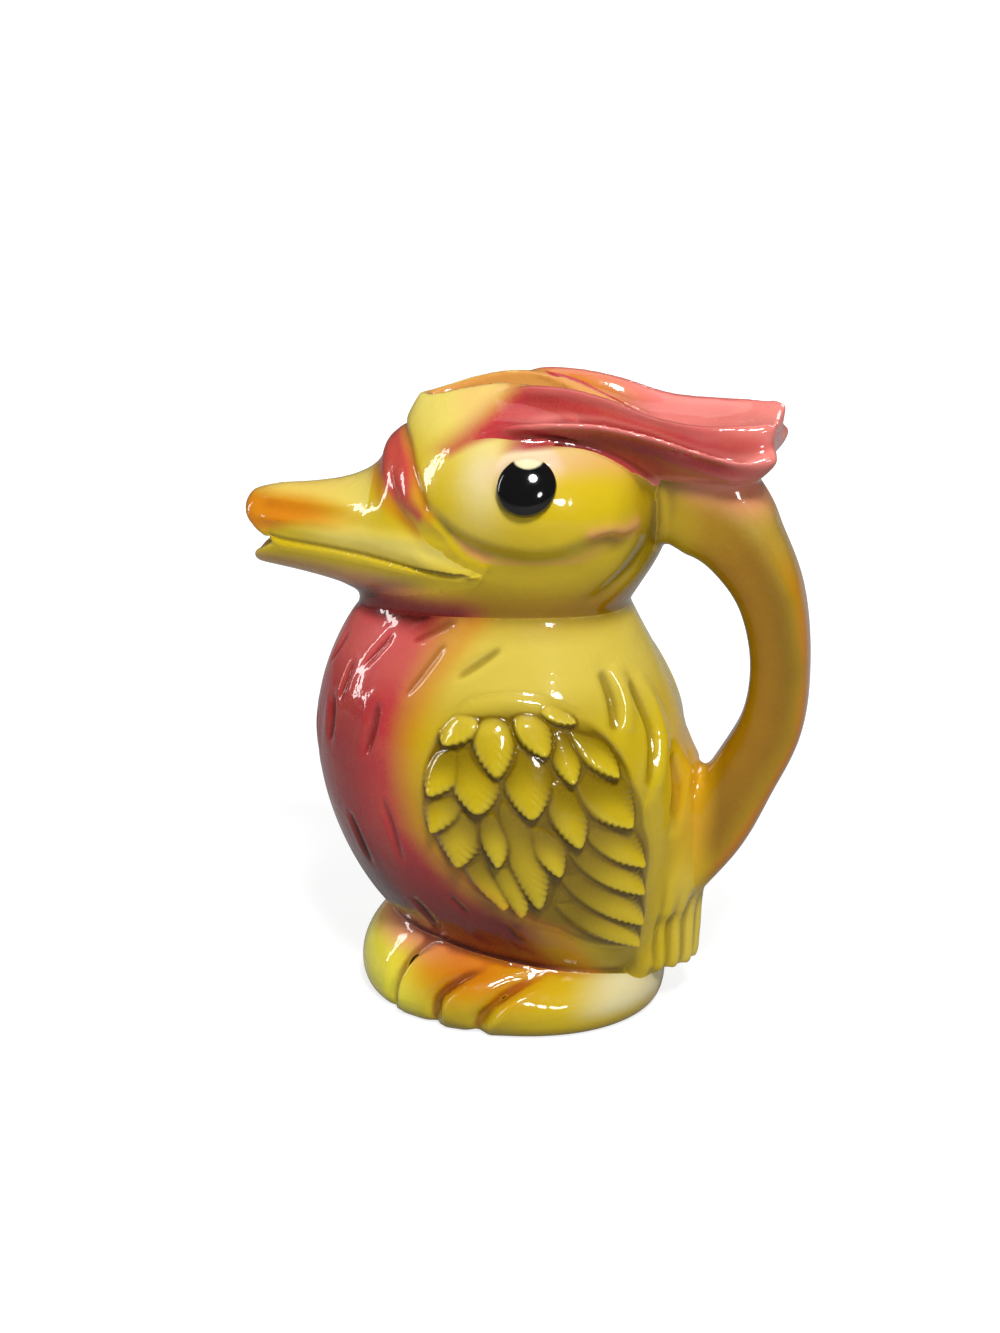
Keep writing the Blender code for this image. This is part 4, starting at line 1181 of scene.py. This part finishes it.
def spray_crest(skin):
    """Rose locks with pale ridges and dark channels, orange at the mouth, pink at the tip; the pale
    ridges are painted highlights, and the dark channels and the band under the lobes are painted
    shade.
    """
    x, z, above = skin.x, skin.z, skin.above
    between = falling(-1.2, 0.9, -skin.y - skin.spacing)
    beside = 1 - between
    mouth = between * falling(16, 40, x)
    climb = above / np.maximum(skin.ridge_rise, 1.0)
    # Painted shade high in each lock's channel, under the top ridge
    channel = near(climb, 0.74, 0.26) * eased(-8, 8, x) * falling(40, 66, x) * beside
    # Painted shade on the band under each lock's lower ridge
    shaded_band = near(above, -5.0, 3.6) * eased(-6, 8, x) * beside
    # Pink in the trough; on raised parts it is a painted highlight
    pink = 0.85 * between * eased(18, 42, x) + 0.45 * skin.raised * eased(-4, 12, x)
    pink += 0.42 * eased(56, 74, x) + 0.45 * falling(-9, -4, above) * eased(36, 60, x)
    # Painted highlight along each lock's lower ridge
    pink += 0.55 * near(climb, 0.06, 0.13) * eased(-4, 16, x) * beside
    maroon = 0.40 * channel + shaded_band * (0.60 - 0.35 * eased(36, 62, x)) + 0.04 * beside
    return {
        # Painted light: the crest's front lighter, like the top of the head
        "lemon": 0.85 * falling(-6, 8, x),
        "cream": 0.25 * mouth,
        "orange": 0.85 * mouth,
        "rose": eased(-22, -8, x - 1.1 * np.clip(z - 185, 0, 99)) * (1 - 0.9 * mouth),
        "pink": pink,
        # Maroon: painted shade in the channels, the band and the hollows
        "maroon": maroon + 0.24 * skin.pool_and_shade * eased(-10, 2, x),
    }


SPRAYS = {
    "base_plinth": spray_plinth,
    "body_shell": spray_body,
    "wing_left": spray_body,
    "wing_right": spray_body,
    "tail": spray_body,
    "head_shell": spray_head,
    "upper_bill": spray_upper_bill,
    "lower_bill": spray_lower_bill,
    "crest": spray_crest,
    "handle": spray_handle,
}


def hang(piece, node_name, sharp):
    """Smooths a piece, hangs it on the frame and hides the solid it stands for."""
    activate(piece)
    bpy.ops.object.shade_smooth_by_angle(angle=math.radians(sharp))
    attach(piece, "root")
    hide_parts(node_name)


def spray(piece, node_name):
    """Sprays and glazes a piece of clay."""
    skin = skin_of(piece)
    coats = SPRAYS[node_name](skin)
    for coat in COATS:
        note(piece, coat, np.clip(coats.get(coat, 0 * skin.x), 0, 1))
    piece.data.materials.clear()
    piece.data.materials.append(glaze_material(node_name + "_glaze"))
    piece.name = node_name + "_clay"
    hang(piece, node_name, 55)


def cut_off(node_name, slot, mould, *bars):
    """Cuts a piece off the clay that is left, with a mould that stops at the bars."""
    combine(mould, "DIFFERENCE", *bars)
    rest = bpy.data.objects["rest"]
    activate(rest)
    bpy.ops.object.duplicate()
    piece = bpy.context.object
    combine(piece, "INTERSECT", mould)
    combine(rest, "DIFFERENCE", mould)
    discard(mould, *bars)
    spray(piece, node_name)


class PITCHER_OT_clay(bpy.types.Operator):
    """Shapes the hollow clay with all its pieces stuck together, and carves it"""

    bl_idname = "pitcher.clay"
    bl_label = "Clay"

    def execute(self, context):
        sizes = context.scene.pitcher_sizes
        wall = sizes.wall / MM
        clay = clay_form("clay", 128, 120, place_body)
        self.combine_forms(
            clay,
            "UNION",
            ("plinth form", 128, 96, place_plinth, {}),
            ("head form", 128, 96, place_head, {}),
            ("upper bill form", 64, 96, place_bill, {"stations": UPPER_BILL, "up": 1}),
            ("lower bill form", 64, 96, place_bill, {"stations": LOWER_BILL, "up": -1}),
            ("crest form", 112, 160, place_crest, {}),
            ("handle form", 64, 160, place_handle, {}),
            ("tail form", 96, 64, place_tail, {}),
            ("column form", 96, 64, place_tail, {"stations": COLUMN, "square": COLUMN_SQUARE}),
        )
        self.combine_forms(
            clay,
            "DIFFERENCE",
            ("head hollow", 128, 128, place_head_hollow, {"wall": wall, "lip": sizes.lip / MM}),
            ("spout hollow", 48, 64, place_spout, {}),
            ("foot recess", 96, 32, place_recess, {}),
        )
        apply_modifier(clay, "REMESH", mode="VOXEL", voxel_size=sizes.grain, adaptivity=0.0)
        self.wipe_seams(clay, sizes.fillet)
        self.wipe_by_hand(clay)
        self.refine(clay)
        carve(clay)
        self.wipe_seams(clay, 1)
        self.note_hollows(clay)
        inside = {"inset": wall, "over": 10.0}
        self.combine_forms(
            clay,
            "DIFFERENCE",
            ("body hollow", 96, 96, place_body, inside),
            ("plinth hollow", 96, 64, place_plinth, {"floor": sizes.floor / MM, **inside}),
        )
        clay.name = "rest"
        return {"FINISHED"}

    def combine_forms(self, clay, operation, *forms):
        made = [clay_form(*form, **settings) for *form, settings in forms]
        combine(clay, operation, *made)
        discard(*made)

    def wipe_by_hand(self, clay):
        """Softens four places further: the back, the locks' front, the crest's tip and the brow."""
        x, y, z = spots(clay).T
        wide = np.abs(y)
        back = eased(30, 38, x) * falling(56, 64, x) * eased(8, 16, z) * falling(86, 98, z)
        lock = eased(-31, -25, x) * falling(-4, 2, x) * eased(170, 175, z)
        lock = lock * eased(11.5, 13.5, wide)
        tip = eased(63, 69, x) * eased(160, 166, z)
        brow = eased(-4, 4, x) * falling(42, 50, x) * eased(163, 168, z) * falling(181, 187, z)
        brow = brow * eased(14, 18, wide)
        self.wipe_seams(clay, 60, back)
        self.wipe_seams(clay, 24, lock, wear=0.10)
        self.wipe_seams(clay, 34, tip, wear=0.50, fill=0.36)
        self.wipe_seams(clay, 40, brow, wear=0.30)

    def wipe_seams(self, clay, rounds, where=None, wear=0.20, fill=0.65):
        """Fills the seams with slip: hollows come up faster than edges wear down."""
        table = spots(clay)
        pairs, count = neighbours(clay)
        if where is None:
            crest = (table[:, 0] < 64) & (table[:, 2] > 178)
            wear = np.where(crest, 0.08, wear)
            fill = np.where(crest & (table[:, 0] > 2), 0.22, fill)
            where = 1.0
        else:
            pairs = pairs[(where[pairs] > 0).any(1)]
        for _ in range(rounds):
            shift = averaged(table, pairs, count) - table
            rise = (shift * facings(clay)).sum(1)
            weight = np.where(rise > 0, fill, wear) * where
            table = table + shift * weight[:, None]
            move_spots(clay, table)

    def refine(self, clay):
        """Splits the faces where fine marks are modelled."""
        table = mirrored_spots(clay)
        x, y, z = table.T
        turn = turn_round(body_at, table)
        miss = np.hypot(x, y) - np.hypot(*body_at(turn, z))
        fine = (np.abs(miss) < 2.4) & (wing_edge(np.degrees(turn), z) < 1.0)
        fine |= (x < -4) & (np.abs(z - 149) < 9) & (y < -6)
        activate(clay)
        bpy.ops.object.mode_set(mode="EDIT")
        bpy.ops.mesh.select_mode(type="VERT")
        bpy.ops.mesh.select_all(action="DESELECT")
        bpy.ops.object.mode_set(mode="OBJECT")
        clay.data.vertices.foreach_set("select", fine)
        bpy.ops.object.mode_set(mode="EDIT")
        bpy.ops.mesh.select_mode(type="FACE")
        bpy.ops.mesh.subdivide(number_cuts=1, smoothness=0)
        bpy.ops.object.mode_set(mode="OBJECT")

    def note_hollows(self, clay):
        """Keeps, for each point, whether it lies in a hollow or on an edge."""
        table = spots(clay)
        face = facings(clay)
        pairs, count = neighbours(clay)
        soft = table
        total = np.zeros(len(table))
        for rounds, depth in ((7, 0.10), (23, 0.34)):
            for _ in range(rounds):
                soft = averaged(soft, pairs, count)
            total += ((soft - table) * face).sum(1) / depth
        total = np.clip(total / 2, -1.5, 1.5)
        for _ in range(3):
            total = averaged(total[:, None], pairs, count)[:, 0]
        note(clay, "hollow", total)


class PITCHER_OT_handle(bpy.types.Operator):
    """Cuts the loop handle off the clay and sprays it"""

    bl_idname = "pitcher.handle"
    bl_label = "Handle"

    def execute(self, context):
        column = {"stations": COLUMN, "square": COLUMN_SQUARE}
        cut_off(
            "handle",
            "gold_glaze",
            clay_form("handle mould", 64, 160, place_handle, grow=1.2),
            clay_form("head bar", 96, 96, place_head),
            clay_form("body bar", 96, 96, place_body),
            clay_form("crest bar", 112, 160, place_crest, grow=0.2),
            clay_form("column bar", 96, 64, place_tail, grow=0.6, **column),
        )
        return {"FINISHED"}


class PITCHER_OT_crest(bpy.types.Operator):
    """Cuts the crest off the clay and sprays it"""

    bl_idname = "pitcher.crest"
    bl_label = "Crest"

    def execute(self, context):
        mould = clay_form("crest mould", 112, 160, place_crest, grow=1.7)
        end = clay_form("crest end mould", 48, 32, place_crest_end)
        combine(mould, "UNION", end)
        discard(end)
        cut_off("crest", "rose_glaze", mould, clay_form("head bar", 96, 96, place_head, lift=16.0))
        return {"FINISHED"}


class PITCHER_OT_bill(bpy.types.Operator):
    """Cuts both halves of the bill off the clay and sprays them"""

    bl_idname = "pitcher.bill"
    bl_label = "Bill"

    def execute(self, context):
        for name, stations, up, slot in (
            ("upper_bill", UPPER_BILL, 1, "orange_glaze"),
            ("lower_bill", LOWER_BILL, -1, "yellow_glaze"),
        ):
            half = {"stations": stations, "up": up, "grow": 2.2}
            cut_off(
                name,
                slot,
                clay_form(name + " mould", 64, 96, place_bill, **half),
                clay_form("head bar", 96, 96, place_head),
                clay_form("body bar", 96, 96, place_body),
            )
        return {"FINISHED"}


class PITCHER_OT_tail(bpy.types.Operator):
    """Cuts the tail off the clay and sprays it"""

    bl_idname = "pitcher.tail"
    bl_label = "Tail"

    def execute(self, context):
        cut_off(
            "tail",
            "yellow_glaze",
            clay_form("tail mould", 96, 64, place_tail, grow=1.4),
            clay_form("body bar", 96, 96, place_body),
            clay_form("plinth bar", 96, 96, place_plinth),
        )
        return {"FINISHED"}


class PITCHER_OT_plinth(bpy.types.Operator):
    """Cuts the plinth off the clay and sprays it"""

    bl_idname = "pitcher.plinth"
    bl_label = "Plinth"

    def execute(self, context):
        mould = clay_form("plinth mould", 64, 48, place_below_waist)
        cut_off("base_plinth", "orange_glaze", mould)
        return {"FINISHED"}


class PITCHER_OT_eyes(bpy.types.Operator):
    """Models both eyes and their sockets"""

    bl_idname = "pitcher.eyes"
    bl_label = "Eyes"

    def execute(self, context):
        sizes = context.scene.pitcher_sizes
        radius, dome = sizes.eye_radius / MM, sizes.eye_dome / MM
        low, gap = -sizes.eye_seat / MM, 0.05
        for name, side in (("eye_left", -1), ("eye_right", 1)):
            seat = self.seat(side)
            room = {"radius": radius + gap, "low": low - gap, "dome": dome + 4.0}
            socket = clay_form(name + " socket", 64, 48, place_eye, seat=seat, **room)
            combine(bpy.data.objects["rest"], "DIFFERENCE", socket)
            discard(socket)
            shape = {"radius": radius, "low": low, "dome": dome}
            eye = clay_form(name + "_bead", 96, 64, place_eye, seat=seat, **shape)
            centre, outward, ahead, upward = seat
            bite = centre + upward * radius * 0.97 + outward * 1.0
            eye.data.materials.append(self.eye_glaze(name + "_glaze", bite, radius))
            hang(eye, name, 50)
        return {"FINISHED"}

    def seat(self, side):
        """Middle of an eye on the head, with the directions out of it, along it and up it."""
        turn = np.array([math.acos(EYE_PLACE[0] / CHEEK[1])])
        height = np.array([EYE_PLACE[1]])
        for _ in range(20):
            x, y = head_at(turn, height)
            turn = turn + (x - EYE_PLACE[0]) / CHEEK[2]
        x, y = head_at(turn, height)
        along = np.stack(head_at(turn + 0.05, height)) - np.stack(head_at(turn - 0.05, height))
        up = np.stack(head_at(turn, height + 2.0)) - np.stack(head_at(turn, height - 2.0))
        ahead = Vector((along[0][0], side * along[1][0], 0)).normalized()
        rising = Vector((up[0][0], side * up[1][0], 4.0)).normalized()
        outward = ahead.cross(rising).normalized()
        if outward.y * side < 0:
            outward = -outward
        upward = (rising - outward * rising.dot(outward)).normalized()
        centre = np.array((x[0], side * y[0], EYE_PLACE[1])) + np.array(outward) * 0.9
        return centre, np.array(outward), np.array(ahead), np.array(upward)

    def eye_glaze(self, name, bite, radius):
        """Black glass with an ivory bite at the top."""
        colours = bpy.context.scene.pitcher_colours
        material, tree, shader = new_material(name)
        place = node(tree, "TexCoord").outputs["Object"]
        away = node(tree, "VectorMath", {0: place, 1: bite * MM}, operation="DISTANCE")
        cloud = node(tree, "TexNoise", {"Scale": 420, "Vector": place}).outputs["Fac"]
        ragged = sum_node(tree, "MULTIPLY_ADD", cloud, 0.0006, away.outputs["Value"])
        outside = stretched(tree, ragged, 0.0, 1.0, radius * 0.50 * MM, radius * 0.58 * MM)
        colour = mixed(tree, outside, (*colours.cream, 1), (*colours.black, 1))
        gloss = stretched(tree, cloud, 0.04, 0.12)
        feed(tree, shader, {"Base Color": colour, "Roughness": gloss})
        return material


class PITCHER_OT_head(bpy.types.Operator):
    """Cuts the head off the clay and sprays it"""

    bl_idname = "pitcher.head"
    bl_label = "Head"

    def execute(self, context):
        mould = clay_form("head mould", 96, 64, place_above_neck)
        cut_off("head_shell", "yellow_glaze", mould)
        return {"FINISHED"}


class PITCHER_OT_wings(bpy.types.Operator):
    """Cuts both wings off the clay and sprays them"""

    bl_idname = "pitcher.wings"
    bl_label = "Wings"

    def execute(self, context):
        for name, side in (("wing_left", -1), ("wing_right", 1)):
            mould = clay_form(name + " mould", 96, 64, place_wing, side=side)
            cut_off(name, "yellow_glaze", mould)
        return {"FINISHED"}


class PITCHER_OT_body(bpy.types.Operator):
    """Sprays what is left of the clay, which is the body"""

    bl_idname = "pitcher.body"
    bl_label = "Body"

    def execute(self, context):
        spray(bpy.data.objects["rest"], "body_shell")
        return {"FINISHED"}


class PITCHER_OT_stage(bpy.types.Operator):
    """Sets the pale floor, the studio light and the camera"""

    bl_idname = "pitcher.stage"
    bl_label = "Stage"

    def execute(self, context):
        activate()
        bpy.ops.mesh.primitive_plane_add(size=16)
        floor = context.object
        floor.name = "floor"
        floor.data.materials.append(self.floor_material())
        self.light()
        bpy.ops.object.camera_add(
            location=[place * MM for place in CAMERA_PLACE],
            rotation=[math.radians(turn) for turn in CAMERA_TURN],
        )
        camera = context.object
        camera.name = "camera"
        camera.data.lens = CAMERA_LENS
        camera.data.sensor_width = 36
        camera.data.clip_start = 0.01
        context.scene.camera = camera
        context.scene.view_settings.view_transform = "Standard"
        return {"FINISHED"}

    def floor_material(self):
        """Pale paper that is seen white, a little less so where the shadow falls."""
        material, tree, shader = new_material("floor")
        place = node(tree, "TexCoord").outputs["Object"]
        away = node(tree, "VectorMath", {0: place}, operation="LENGTH").outputs["Value"]
        outward = stretched(tree, away, 0.78, 1.0, 0.10, 0.60)
        settings = {
            "Base Color": (*bpy.context.scene.pitcher_colours.floor, 1),
            "Roughness": 0.9,
            "Specular IOR Level": 0.0,
            "Emission Color": (1, 1, 1, 1),
            "Emission Strength": sum_node(tree, "MULTIPLY", self.white_seen(tree), outward),
        }
        feed(tree, shader, settings)
        return material

    def light(self):
        """A soft box over the photographer, weaker ones around, and a dim room."""
        for name, place, aim_height, wide, tall, power in LAMPS:
            direction = Vector((0, 0, aim_height)) - Vector(place)
            turn = direction.to_track_quat("-Z", "Y").to_euler()
            bpy.ops.object.light_add(type="AREA", location=place, rotation=turn)
            lamp = bpy.context.object
            lamp.name = name
            lamp.data.shape = "ELLIPSE"
            lamp.data.size = wide
            lamp.data.size_y = tall
            lamp.data.energy = power
        world = bpy.data.worlds.new("room")
        bpy.context.scene.world = world
        world.use_nodes = True
        tree = world.node_tree
        strength = sum_node(tree, "MAXIMUM", ROOM_LIGHT, self.white_seen(tree))
        feed(tree, tree.nodes["Background"], {"Color": (1, 1, 1, 1), "Strength": strength})

    def white_seen(self, tree):
        """1 where the surroundings are seen straight or through glass, a little in a mirror."""
        path = node(tree, "LightPath").outputs
        seen = sum_node(tree, "MAXIMUM", path["Is Camera Ray"], path["Is Transmission Ray"])
        mirrored = (path["Is Glossy Ray"], MIRRORED_SHARE, seen)
        return sum_node(tree, "MULTIPLY_ADD", *mirrored, use_clamp=True)


class PITCHER_PT_panel(bpy.types.Panel):
    """Lists the steps that make the pitcher"""

    bl_idname = "PITCHER_PT_panel"
    bl_label = "Bird pitcher"
    bl_space_type = "VIEW_3D"
    bl_region_type = "UI"
    bl_category = "Pitcher"

    def draw(self, context):
        column = self.layout.column()
        for group in (context.scene.pitcher_sizes, context.scene.pitcher_colours):
            for name in group.bl_rna.properties.keys():
                if name not in ("rna_type", "name"):
                    column.prop(group, name)
        for step in STEPS:
            column.operator(step.bl_idname)


STEPS = (
    PITCHER_OT_clay,
    PITCHER_OT_handle,
    PITCHER_OT_crest,
    PITCHER_OT_bill,
    PITCHER_OT_tail,
    PITCHER_OT_plinth,
    PITCHER_OT_eyes,
    PITCHER_OT_head,
    PITCHER_OT_wings,
    PITCHER_OT_body,
    PITCHER_OT_stage,
)
CLASSES = (PitcherSizes, PitcherColours, *STEPS, PITCHER_PT_panel)


def register():
    for made in CLASSES:
        bpy.utils.register_class(made)
    bpy.types.Scene.pitcher_sizes = PointerProperty(type=PitcherSizes)
    bpy.types.Scene.pitcher_colours = PointerProperty(type=PitcherColours)


def unregister():
    del bpy.types.Scene.pitcher_sizes
    del bpy.types.Scene.pitcher_colours
    for made in reversed(CLASSES):
        bpy.utils.unregister_class(made)


def main():
    for name in ("Cube", "Light", "Camera"):
        if name in bpy.data.objects:
            discard(bpy.data.objects[name])
    register()
    bpy.ops.pitcher.clay()
    bpy.ops.pitcher.handle()
    bpy.ops.pitcher.crest()
    bpy.ops.pitcher.bill()
    bpy.ops.pitcher.tail()
    bpy.ops.pitcher.plinth()
    bpy.ops.pitcher.eyes()
    bpy.ops.pitcher.head()
    bpy.ops.pitcher.wings()
    bpy.ops.pitcher.body()
    bpy.ops.pitcher.stage()


if __name__ == "__main__":
    main()
